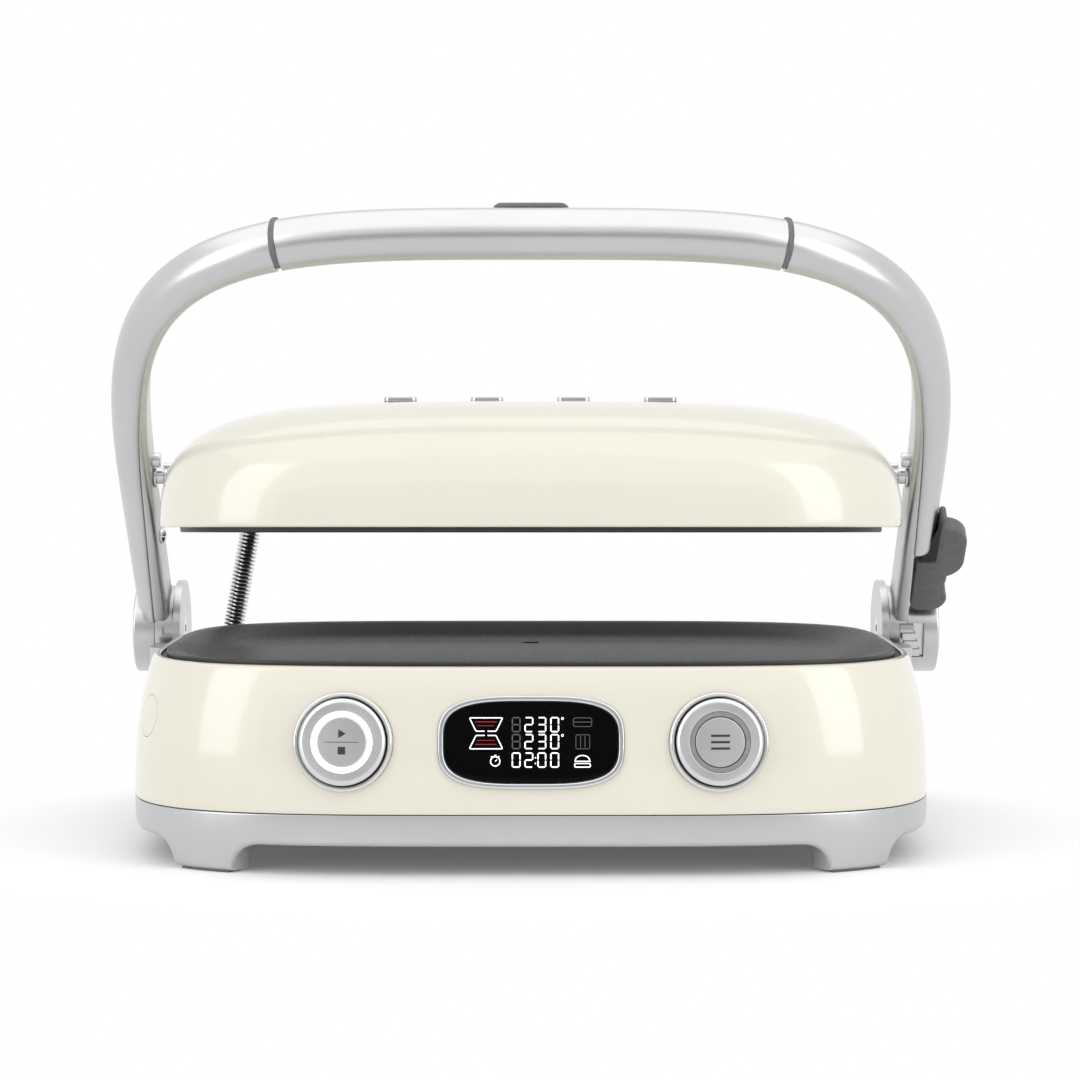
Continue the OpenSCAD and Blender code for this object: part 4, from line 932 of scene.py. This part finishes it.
def handle_rings():
    """Dark rings: the whole section as one superellipse, a quarter millimetre proud, its edges softened."""
    shapes = []
    a = np.linspace(0, 2 * np.pi, 72, endpoint=False)[None, :]
    for side in (1, -1):
        run = stations(RING_TURN - RING_REACH + 0.0005, RING_TURN + RING_REACH - 0.0005, 7)
        grow = (0.25 - 0.35 * np.array([1, 0.35, 0, 0, 0, 0.35, 1]))[:, None]
        e = total_at(run[:, 1])[:, None]
        across = (HANDLE_W / 2 + grow) * signed_power(np.sin(a), 2 / BAND_POWER)
        out = e / 2 * (signed_power(np.cos(a), 2 / BAND_POWER) - 1) + grow * np.cos(a)
        shapes.append(carried(run, np.stack([out, across], -1), side=side))
    return shapes


def inner_face_x(s):
    """Where the liner's flat face lies at a distance s."""
    return float(arch_x(s) - total_at(s))


def band_face_x(s):
    """Where the band's flat side lies at a distance s."""
    return float(arch_x(s) - band_at(s))


def arm_rod(s, x, h=0.0):
    """Place on the arm at (s, h), its local z along x from x."""
    return on_axis_x(IN_ARM, x, -s, h)


# ---------- Hinge ----------

ON_HINGE = move(DRUM_X, HINGE_Y, HINGE_Z) @ turn(1, 90)


def drum_front(below):
    """Place on a drum's front: local x along the axis, z out of it."""
    return move(0, HINGE_Y, HINGE_Z) @ turn(0, 90 + below)


def drum(end_x, place):
    """Hinge drum: turned, with a fine seam between its halves, a ring groove and a blind bore."""
    w = end_x - DRUM_X
    seam = DRUM_SEAM_X - DRUM_X
    bore = seam + 7
    corners = [
        (0, bore), (AXLE_R + 0.05, bore), (AXLE_R + 0.05, 0), (DRUM_R, 0), (DRUM_R, seam - 0.22),
        (DRUM_R - 0.5, seam), (DRUM_R, seam + 0.22), (DRUM_R, w), (18.1, w), (17.6, w - 0.6), (17.1, w),
        (0, w),
    ]
    radii = [0, 0.3, 0.3, 0.8, 0.08, 0, 0.08, 1.3, 0.15, 0, 0.15, 0]
    return lathe(rounded(corners, radii, 6, closed=False), place, 160)


# ---------- Shown pieces ----------

piece("body_shell", lower_shell(), CREAM, "base", ["lower_shell"])
piece("foot_ring", [foot_ring()], FRAME_METAL, "base", ["base_frame"])
piece("cooking_plate", lower_plate(), NON_STICK, "lower_plate", ["lower_plate"])
piece("plate_frame_ring", [plate_frame()], BLACK_METAL, "base", ["plate_frame"])

piece("lid_dome", lid_shell(), CREAM, "lid", ["lid_shell"])
piece("ribbed_plate", upper_plate(), NON_STICK, "upper_plate", ["upper_plate"])
pads = [slab(round_bar(TOP_PAD_L, TOP_PAD_W), LID_H - 0.9, LID_H + 1.9, IN_LID @ move(x, TOP_PAD_Y, 0), 0.8)
        for x in TOP_PADS]
piece("lid_pads", pads, PIN_STEEL, "lid", ["lid_top_pads"])

lower_form = body_solid(shell_side())
lower_button = carve("lower_button", [lower_form],
                     [rod(RELEASE_R, -4, 6, ON_LEFT_SIDE, 0.01, 96)], "INTERSECT")
piece("lower_button", lower_button, CREAM, "lower_release", ["lower_release"])
piece("lower_button_stem", [rod(4.5, -11.5, -4, ON_LEFT_SIDE)], BLACK_PLASTIC, "lower_release")
upper_form = solid(placed(IN_LID, dome_rings(0, DOME_RISE[:44])))
upper_button = carve("upper_button", [upper_form],
                     [rod(RELEASE_R, -6, 8, ON_LID_LEFT, 0.01, 96)], "INTERSECT")
piece("upper_button", upper_button, CREAM, "upper_release", ["upper_release"])
piece("upper_button_stem", [rod(4.5, -13, -6, ON_LID_LEFT)], BLACK_PLASTIC, "upper_release")

arm_band = carried(ARM_RUN, band_section(ARM_RUN[:, 1]), cope=True, side=-1)
piece("left_band", [arm_band], METAL, "arms", ["left_arm"])
piece("right_band", [right_band()], METAL, "arms", ["right_arm"])
for name, side in (("left", -1), ("right", 1)):
    strip = carried(ARM_RUN, liner_section(ARM_RUN[:, 1]), cope=True, side=side)
    piece(f"{name}_liner", [strip], LINER_METAL, "arms", [f"{name}_arm_liner"])
piece("grip_band", [carried(GRIP_RUN, band_section(GRIP_RUN[:, 1]))], METAL, "arms", ["handle_grip"])
piece("grip_strip", [carried(GRIP_RUN, liner_section(GRIP_RUN[:, 1]))], LINER_METAL, "arms", ["grip_liner"])
piece("grip_rings", handle_rings(), RING_PLASTIC, "arms", ["handle_rings"])
rest = slab(round_bar(38, 9), HANDLE_W / 2 - 2, HANDLE_W / 2 + 0.9,
            IN_ARM @ move(0, GRIP_BAND_T / 2 - ARCH_REACH, 0), 1.2, 5)
piece("rest_pad", [rest], RUBBER, "arms", ["handle_rest_pad"])
SCREW_S = 80.0
screw = rounded([(0, 0), (4.2, 0), (4.1, 1.3), (2.6, 2.8), (0, 3)], [0, 0, 1.2, 1.6, 0], 6, closed=False)
screw_place = MIRROR_X @ IN_ARM @ move(inner_face_x(SCREW_S) - 0.05, -SCREW_S, -2) @ turn(1, -90)
piece("liner_screw", [lathe(screw, screw_place, 48)], CHROME, "arms", ["arm_screws"])

left_drum = carve("left_drum", [drum(DRUM_LEFT_END, MIRROR_X @ ON_HINGE)],
                  [block((-DRUM_X - 6, -2, DRUM_R - 3), (-DRUM_X + 1, 2, DRUM_R + 3), drum_front(-1))])
piece("left_drum", left_drum, METAL, "hinge_drums", ["hinge_drum_left"])
CAM_X = DRUM_SEAM_X - 4.6
right_drum = carve("right_drum", [drum(DRUM_RIGHT_END, ON_HINGE)],
                   [block((CAM_X, -10, DRUM_R - 6.5), (CAM_X + 14, 10, DRUM_R + 5.5), drum_front(13))])
piece("right_drum", right_drum, METAL, "hinge_drums", ["hinge_drum_right"])

for name, side in (("left", MIRROR_X), ("right", HERE)):
    s = ARM_PIVOT_S
    start = LID_HALF_W - 25
    collar = inner_face_x(s) - 1.9 - start
    end = band_face_x(s) - SEAT - start
    corners = [(0, 0), (PIVOT_R, 0), (PIVOT_R, collar - 6), (PIVOT_R - 0.7, collar - 5.6),
               (PIVOT_R - 0.7, collar - 4), (PIVOT_R, collar - 3.6), (PIVOT_R, collar),
               (PIVOT_R + 2, collar), (PIVOT_R + 2, collar + 1.6),
               (PIVOT_R, collar + 1.6), (PIVOT_R, end), (0, end)]
    pin = lathe(rounded(corners, [0, 0.5, 0.1, 0.1, 0.1, 0.1, 0.1, 0.4, 0.4, 0.1, 0.5, 0], 5, closed=False),
                side @ arm_rod(s, start), 72)
    piece(f"{name}_pin", [pin], PIN_STEEL, "pivot_pins", [f"pivot_pin_{name}"])
stops = []
rods = []
for side in (MIRROR_X, HERE):
    start = inner_face_x(STOP_S) - 4.5
    stops.append(rod(STOP_R, 0, band_face_x(STOP_S) - SEAT - start, side @ arm_rod(STOP_S, start), 0.6))
    rod_y = LID_PIVOT_Y + 12
    rod_z = LID_PIVOT_H + 5
    start = dome_x(rod_y, rod_z - 2) + 0.1
    rods.append(rod(2.2, 0, LID_HALF_W + 8 - start, side @ on_axis_x(IN_LID, start, rod_y, rod_z), 0.4))
piece("stop_pegs", stops, PIN_STEEL, "arms", ["tilt_stops"])
piece("lid_rods", rods, PIN_STEEL, "lid", ["tilt_rods"])


def arc(x, y, r, start, end, steps=14):
    """Arc of a circle as outline points."""
    a = np.radians(np.linspace(start, end, steps))
    return np.stack([x + r * np.cos(a), y + r * np.sin(a)], -1)


def lever_outline():
    """Lever from the side: lobe, waist and tail on the inner line, and a thin fin up past the band."""
    foot_x = DRUM_SEAM_X + 0.4
    side_x = ARCH_HALF_W + 0.3
    lobe = foot_x + 13.2
    tail = foot_x + 10.1
    waist = foot_x + 17.3
    runs = [
        [(side_x, -41.8), (side_x, -20), (side_x, -9.6)],
        arc(side_x - 0.9, -9.6, 0.9, 0, 90, 4),
        [(foot_x + 1.2, -8.7)],
        arc(foot_x + 1.2, -7.5, 1.2, -90, -180, 5),
        [(foot_x, 5), (foot_x, 20)],
        arc(foot_x + 6, 26.5, 6, 180, 90, 9),
        arc(tail + 0.2, 23, 9.5, 90, -38, 20),
        arc(waist + 2.4, 10.4, 2.4, 138, 222, 6),
        arc(lobe, -8.2, 13, 68, 0, 12),
        arc(lobe, -22.2, 13, 0, -86, 16),
        [(side_x + 3.8, -38)],
        arc(side_x + 1.9, -41.8, 1.9, 0, -180, 10),
    ]
    return np.vstack([np.asarray(run, float) for run in runs])


LEVER_S = RIGHT_BAND_START - 12.5
LEVER_H = -6.0
LEVER_PLACE = IN_ARM @ move(0, -LEVER_S, LEVER_H - 5)
lever = carve("lever", [slab(lever_outline(), 0, 10, LEVER_PLACE, 1.3, 4)],
              [rod(3.05, DRUM_SEAM_X - 1, DRUM_SEAM_X + 10.3, arm_rod(LEVER_S, 0, LEVER_H), 0.01)])
piece("height_lever_body", lever, LEVER_PLASTIC, "height_lever", ["height_lever"])


# ---------- Controls ----------

BEZEL = rounded([(DIAL_R + 0.4, -9), (BEZEL_NECK_R, -9), (BEZEL_NECK_R, -PANEL_SEAT + 0.1),
                 (BEZEL_R, -PANEL_SEAT + 0.1), (BEZEL_R, 0.7), (BEZEL_R - 0.7, 2.1), (DIAL_R + 1.5, 2.1),
                 (DIAL_R + 0.4, 0.6)],
                [0.2, 0.2, 0.2, 0.2, 0.5, 0.7, 0.6, 0.3], 5)
DIAL = rounded([(5.05, -3), (DIAL_R, -3), (DIAL_R, 2.4), (DIAL_R - 0.35, 2.6), (DIAL_R - 0.35, 3.0),
                (DIAL_R, 3.2), (DIAL_R, DIAL_PROUD - 1), (DIAL_R - 1.6, DIAL_PROUD),
                (LIGHT_R + 0.05, DIAL_PROUD),
                (LIGHT_R + 0.05, -1), (5.05, -1)],
               [0.2, 0.3, 0.1, 0.1, 0.1, 0.1, 0.8, 0.9, 0.35, 0.2, 0.2], 6)
RING = rounded([(BUTTON_R + 0.35, -1), (LIGHT_R, -1), (LIGHT_R, BUTTON_FACE), (BUTTON_R + 0.35, BUTTON_FACE)],
               [0.1, 0.1, 0.3, 0.3], 4)
BUTTON = rounded([(0, -7), (2.9, -7), (2.9, DIAL_PROUD - 2.6), (BUTTON_R, DIAL_PROUD - 2.6),
                  (BUTTON_R, BUTTON_FACE), (0, BUTTON_FACE)], [0, 0.3, 0.3, 0.3, 0.6, 0], 5, closed=False)


def mark(outline, place, level, thickness=0.08):
    """Printed or lit mark: a very thin plate lying on a face."""
    return slab(outline, level, level + thickness, place, 0.015, 1)


def turned_flat(points, angle):
    """Flat points turned about their origin by an angle in degrees."""
    a = math.radians(angle)
    return points @ np.array([[math.cos(a), math.sin(a)], [-math.sin(a), math.cos(a)]])


def bar(x, y, length, width, angle=0.0):
    """Outline of a straight bar."""
    flat = np.array([(-length, -width), (length, -width), (length, width), (-length, width)]) / 2
    return turned_flat(flat, angle) + (x, y)


for name, place in ON_DIALS.items():
    lit = name == "start"
    dial = f"{name}_dial"
    rim = piece(f"{name}_rim", [lathe(BEZEL, place, 192)], BEZEL_STEEL, "base", [f"{name}_bezel"])
    knob = piece(f"{name}_knob", [lathe(DIAL, place, 192)], DIAL_METAL, dial, [dial])
    for turned in (rim, knob):
        spin_marks(turned, place)
    ring_finish = LIGHT if lit else UNLIT
    piece(f"{name}_light", [lathe(RING, place, 160)], ring_finish, dial, [f"{name}_light_ring"])
    piece(f"{name}_key", [lathe(BUTTON, place, 160)], BUTTON_METAL, f"{name}_button", [f"{name}_button"])
    face = BUTTON_FACE - 0.02
    if lit:
        outlines = [bar(0, 0, 16, 0.3), [(-1.6, 1.9), (2.0, 4.0), (-1.6, 6.1)],
                    [(-1.8, -5.8), (1.8, -5.8), (1.8, -2.2), (-1.8, -2.2)]]
    else:
        outlines = [bar(0, y, 9, 1.1) for y in (3.0, 0, -3.0)]
    marks = [mark(o, place, face) for o in outlines]
    piece(f"{name}_symbol", marks, PRINT, f"{name}_button")

corners = [(1.4, -5), (1.4, -PANEL_SEAT + SEAT), (0, -PANEL_SEAT + SEAT), (0, 1.3), (2.5, 1.3), (2.5, -2.95),
           (4.6, -2.95), (4.6, -5)]
rim = display_solid(rounded(corners, [0.2, 0.2, 0.2, 0.8, 0.8, 0.1, 0.1, 0.2], 5), loop=True)
piece("display_rim", [rim], CHROME, "base", ["display_bezel"])
lens = rounded([(9, -2.9), (2.75, -2.9), (2.75, GLASS_TOP), (9, GLASS_TOP)],
               [0, 0.2, 0.6, 0], 5, closed=False)
piece("display_glass", [display_solid(lens)], GLASS, "base", ["display_lens"])

LINE = 0.5
SEGMENTS = {"0": "abcdef", "2": "abged", "3": "abgcd", "8": "abcdefg"}


def digit(shown, x, y, w=3.6, h=6.6):
    """Seven-segment figure in a box from its lower left corner. Its segments are long hexagons."""
    t = 0.62
    places = {
        "a": (w / 2, h, 0), "g": (w / 2, h / 2, 0), "d": (w / 2, 0, 0), "f": (0, 0.75 * h, 90),
        "b": (w, 0.75 * h, 90), "e": (0, 0.25 * h, 90), "c": (w, 0.25 * h, 90),
    }
    out = []
    for key in SEGMENTS[shown]:
        px, py, angle = places[key]
        half = ((w if angle == 0 else h / 2) - 0.3) / 2
        hexagon = np.array([(-half, 0), (-half + t / 2, -t / 2), (half - t / 2, -t / 2), (half, 0),
                            (half - t / 2, t / 2), (-half + t / 2, t / 2)])
        out.append(turned_flat(hexagon, angle) + (x + px, y + py))
    return out


def stroke(points, width=LINE):
    """Outline of a line with a width: the points moved half of it to each side, along the normals."""
    points = np.asarray(points, float)
    along = np.gradient(points, axis=0)
    normal = np.stack([-along[:, 1], along[:, 0]], -1)
    normal /= np.maximum(np.linalg.norm(normal, axis=1, keepdims=True), 1e-9)
    return np.vstack([points + normal * width / 2, (points - normal * width / 2)[::-1]])


def ring_strokes(corners, radius, width=LINE):
    """Closed line round some corners, as two strokes that meet."""
    path = rounded(corners, radius, 6)
    half = len(path) // 2
    return [stroke(path[:half + 1], width), stroke(np.vstack([path[half:], path[:1]]), width)]


def plate_sign(y, way):
    """Heated plate seen from the side: a tray outline open in the middle of its narrow side."""
    wide, narrow = y, y - way * 6.3
    left = [(-21.9, narrow), (-26.0, narrow), (-29.1, wide), (-13.4, wide), (-16.5, narrow), (-20.5, narrow)]
    return stroke(rounded(left, [0, 0.6, 0.7, 0.7, 0.6, 0], 6, closed=False))


ROWS = [5.1, -2.9, -11.6]
COLUMNS = [-8.8, -2.8, 3.3, 9.4]
bright = [plate_sign(11.6, 1), plate_sign(-3.0, -1)]
dim = []
for row, text in zip(ROWS, ("8230", "8230", "0200")):
    for column, shown in zip(COLUMNS, text):
        (dim if column == COLUMNS[0] and row != ROWS[2] else bright).extend(digit(shown, column, row))
for row in ROWS[:2]:
    bright.append(stroke(arc(14.9, row + 6.2, 0.5, 0, 350, 14), 0.3))
bright += [arc(2.1, ROWS[2] + y, 0.36, 0, 330, 10) for y in (1.7, 4.4)]
bright += [stroke(arc(-16.9, -8.9, 2.2, 0, 182, 18)), stroke(arc(-16.9, -8.9, 2.2, 180, 362, 18)),
           bar(-16.9, -6.2, 1.0, 0.6), bar(-16.5, -8.5, 1.3, 0.35, 48), bar(-18.6, -6.7, 0.8, 0.4, 40),
           bar(-15.2, -6.7, 0.8, 0.4, -40)]
bright += [stroke(arc(24.3, -8.5, 3.4, 0, 180, 18) * (1, 0.7) + (0, -2.55)), bar(24.3, -8.9, 7.6, 0.5),
           *ring_strokes([(20.6, -11.6), (28, -11.6), (28, -9.9), (20.6, -9.9)], 0.7)]
dim += ring_strokes([(20, 7.5), (28.7, 7.5), (28.7, 11.6), (20, 11.6)], 1.2, 0.35)
dim += [bar(24.35, 9.6, 8.3, 0.35)]
dim += ring_strokes([(21.2, -3), (27.7, -3), (27.7, 3.6), (21.2, 3.6)], 0.8, 0.35)
dim += [bar(x, 0.3, 0.35, 5.4) for x in (23.4, 25.5)]
red = [bar(-21.3, y, length, width)
       for y, length, width in ((9.7, 10.2, 0.4), (7.9, 8.0, 0.3), (1.0, 8.2, 0.3), (-0.9, 10.2, 0.4))]
for name, outlines, finish in (("lit", bright, LIT_MARK), ("dim", dim, DIM_MARK), ("red", red, RED_MARK)):
    piece(f"{name}_figures", [mark(o, ON_DISPLAY, GLASS_TOP) for o in outlines], finish, "base")


# ---------- Lead spring ----------

COIL_FROM = np.array([-172.0, 143.0, 87.0])
COIL_TO = np.array([-158.5, 150.7, 167.0])
COIL_R = 5.4
WIRE_R = 0.68
COIL_TURNS = 38
LEAD_R = 3.3


def on_coil_axis(share):
    """Point of the coil's axis at a share of its length."""
    return COIL_FROM + (COIL_TO - COIL_FROM) * share


def coil(start, end):
    """Wire and core of the coil between two shares of its length. A point of the wire is
    axis + (R + w cos b) out + w sin b along, where out turns round the axis with the share,
    and b goes round the wire."""
    along = (COIL_TO - COIL_FROM) / np.linalg.norm(COIL_TO - COIL_FROM)
    side = np.cross(along, (0.0, 1.0, 0.0))
    side /= np.linalg.norm(side)
    up = np.cross(along, side)
    share = np.linspace(start, end, int(COIL_TURNS * 22 * (end - start)))[:, None]
    turned = 2 * np.pi * COIL_TURNS * share
    out = np.cos(turned) * side + np.sin(turned) * up
    b = np.linspace(0, 2 * np.pi, 8, endpoint=False)[None, :, None]
    reach = (COIL_R + WIRE_R * np.cos(b)) * out[:, None] + WIRE_R * np.sin(b) * along
    wire = solid(on_coil_axis(share)[:, None] + reach)
    a = np.linspace(0, 2 * np.pi, 32, endpoint=False)[None, :, None]
    stops = np.linspace(start, end, 40)[:, None, None]
    core = on_coil_axis(stops) + LEAD_R * (np.cos(a) * side + np.sin(a) * up)
    return wire, solid(core)


# The coil starts on the body. Each further stretch is listed with the bodies below and above it and its
# shares of the coil's length; it is made in place and rides on no body.
STRETCHES = [
    ("first", "base", "hinge_drums", 0.04, 0.45), ("second", "hinge_drums", "arms", 0.45, 0.62),
    ("third", "arms", "pivot_pins", 0.62, 0.8), ("fourth", "pivot_pins", "lid", 0.8, 1.0),
]
wire, core = coil(0, STRETCHES[0][3])
piece("coil_foot", [wire], PIN_STEEL, "base", ["lead_sleeve"])
piece("lead_foot", [core], BLACK_PLASTIC, "base")
for name, lower, upper, start, end in STRETCHES:
    near, far = (on_coil_axis(t) * MM for t in (start, end))
    for kind, shape, finish in zip(("coil", "lead"), coil(start, end), (PIN_STEEL, BLACK_PLASTIC)):
        thing = dressed(f"{kind}_{name}", [shape], finish, 40)
        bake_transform(thing)
        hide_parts("lead_sleeve")


# ---------- Finishes of the nodes that show as they are ----------

NODE_FINISH = {
    "foot_pads": RUBBER, "bottom_cover": BLACK_METAL, "cover_screws": PIN_STEEL, "lower_heater": HOT_STEEL,
    "lower_reflector": HOT_STEEL, "lower_thermostat": METAL, "control_board": BOARD, "power_board": BOARD,
    "start_encoder": BLACK_PLASTIC, "menu_encoder": BLACK_PLASTIC, "hinge_bracket_left": METAL,
    "hinge_bracket_right": METAL, "lead_gland_lower": BLACK_PLASTIC, "mains_gland": BLACK_PLASTIC,
    "drip_tray": CREAM, "hinge_axle_left": PIN_STEEL, "hinge_axle_right": PIN_STEEL, "height_cam": PIN_STEEL,
    "lever_mount": BLACK_PLASTIC, "lid_frame": BLACK_METAL, "upper_heater": HOT_STEEL,
    "upper_reflector": HOT_STEEL, "lead_gland_upper": BLACK_PLASTIC,
}
for name, finish in NODE_FINISH.items():
    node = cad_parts[name]
    node.data.materials.clear()
    node.data.materials.append(finish)
    node.data.shade_smooth()
    node.data.set_sharp_from_angle(angle=math.radians(30))


# ---------- Studio ----------

def seen_rays(material):
    """Value that is 1 for camera, glossy and transmission rays."""
    path = add_node(material, "ShaderNodeLightPath")
    glossy = add_node(material, "ShaderNodeMath", operation="MAXIMUM")
    seen = add_node(material, "ShaderNodeMath", operation="MAXIMUM")
    join(material, path.outputs["Is Glossy Ray"], glossy.inputs[0])
    join(material, path.outputs["Is Transmission Ray"], glossy.inputs[1])
    join(material, path.outputs["Is Camera Ray"], seen.inputs[0])
    join(material, glossy.outputs["Value"], seen.inputs[1])
    return seen.outputs["Value"]


world = bpy.data.worlds.new("studio")
world.use_nodes = True
bpy.context.scene.world = world
soft = world.node_tree.nodes["Background"]
soft.inputs["Color"].default_value = (1.0, 1.0, 1.0, 1.0)
soft.inputs["Strength"].default_value = 0.55
white = add_node(world, "ShaderNodeBackground")
white.inputs["Color"].default_value = (1.0, 1.0, 1.0, 1.0)
mix = add_node(world, "ShaderNodeMixShader")
join(world, seen_rays(world), mix.inputs["Fac"])
join(world, soft.outputs["Background"], mix.inputs[1])
join(world, white.outputs["Background"], mix.inputs[2])
join(world, mix.outputs["Shader"], world.node_tree.nodes["World Output"].inputs["Surface"])

floor_finish = new_finish("pale_floor", (0.98, 0.98, 0.98, 1.0), 0.9, Specular_IOR_Level=0.0)
floor_nodes = floor_finish.node_tree.nodes
lift = add_node(floor_finish, "ShaderNodeEmission")
lift.inputs["Strength"].default_value = 0.1
glow = add_node(floor_finish, "ShaderNodeEmission")
where = add_node(floor_finish, "ShaderNodeTexCoord")
squeeze = add_node(floor_finish, "ShaderNodeVectorMath", operation="MULTIPLY")
squeeze.inputs[1].default_value = (0.9, 1.15, 1.0)
reach = add_node(floor_finish, "ShaderNodeVectorMath", operation="LENGTH")
fade = add_node(floor_finish, "ShaderNodeMapRange", interpolation_type="SMOOTHSTEP")
fade.inputs["From Min"].default_value = 0.17
fade.inputs["From Max"].default_value = 0.31
both = add_node(floor_finish, "ShaderNodeMath", operation="MULTIPLY")
near = add_node(floor_finish, "ShaderNodeAddShader")
shadow_only = add_node(floor_finish, "ShaderNodeMixShader")
far = add_node(floor_finish, "ShaderNodeMixShader")
seen = seen_rays(floor_finish)
join(floor_finish, where.outputs["Object"], squeeze.inputs[0])
join(floor_finish, squeeze.outputs["Vector"], reach.inputs[0])
join(floor_finish, reach.outputs["Value"], fade.inputs["Value"])
join(floor_finish, fade.outputs["Result"], both.inputs[0])
join(floor_finish, seen, both.inputs[1])
join(floor_finish, floor_nodes["Principled BSDF"].outputs["BSDF"], near.inputs[0])
join(floor_finish, lift.outputs["Emission"], near.inputs[1])
join(floor_finish, seen, shadow_only.inputs["Fac"])
join(floor_finish, floor_nodes["Principled BSDF"].outputs["BSDF"], shadow_only.inputs[1])
join(floor_finish, near.outputs["Shader"], shadow_only.inputs[2])
join(floor_finish, both.outputs["Value"], far.inputs["Fac"])
join(floor_finish, shadow_only.outputs["Shader"], far.inputs[1])
join(floor_finish, glow.outputs["Emission"], far.inputs[2])
join(floor_finish, far.outputs["Shader"], floor_nodes["Material Output"].inputs["Surface"])

floor_mesh = bpy.data.meshes.new("floor")
floor_mesh.from_pydata([(-4, -4, 0), (4, -4, 0), (4, 4, 0), (-4, 4, 0)], [], [(0, 1, 2, 3)])
floor_mesh.materials.append(floor_finish)
link("floor", floor_mesh)


def soft_box(name, place, target, size, watts):
    """Area lamp at a place that faces a target, in metres."""
    lamp = bpy.data.lights.new(name, "AREA")
    lamp.shape = "RECTANGLE"
    lamp.size, lamp.size_y = size
    lamp.energy = watts
    thing = bpy.data.objects.new(name, lamp)
    thing.location = place
    thing.rotation_euler = (Vector(target) - Vector(place)).to_track_quat("-Z", "Y").to_euler()
    bpy.context.scene.collection.objects.link(thing)


soft_box("top_light", (0.0, -0.1, 1.5), (0, 0, 0.1), (2.4, 2.0), 9.5)
soft_box("left_light", (-1.1, -0.9, 0.7), (0, 0, 0.12), (0.6, 1.3), 5.2)
soft_box("right_light", (1.1, -0.9, 0.7), (0, 0, 0.12), (0.6, 1.3), 5.8)

card_finish = new_finish("grey_card", (0.7, 0.7, 0.7, 1.0), 0.9, Specular_IOR_Level=0.0)
card_mesh = bpy.data.meshes.new("grey_card")
card_half, card_y, card_foot, card_top = 1.3, -2.1, 0.02, 1.0
card_corners = [(x, card_y, z) for x, z in ((-card_half, card_foot), (card_half, card_foot),
                                            (card_half, card_top), (-card_half, card_top))]
card_mesh.from_pydata(card_corners, [], [(0, 3, 2, 1)])
card_mesh.materials.append(card_finish)
link("grey_card", card_mesh)

camera = bpy.data.objects.new("front_view", bpy.data.cameras.new("front_view"))
camera.location = (0.0, -1.440, 0.226)
camera.rotation_euler = (math.radians(90 - 2.893), 0, 0)
camera.data.lens = 92.33
camera.data.shift_x = 0.00833
bpy.context.scene.collection.objects.link(camera)
bpy.context.scene.camera = camera
bpy.context.scene.view_settings.view_transform = "Standard"
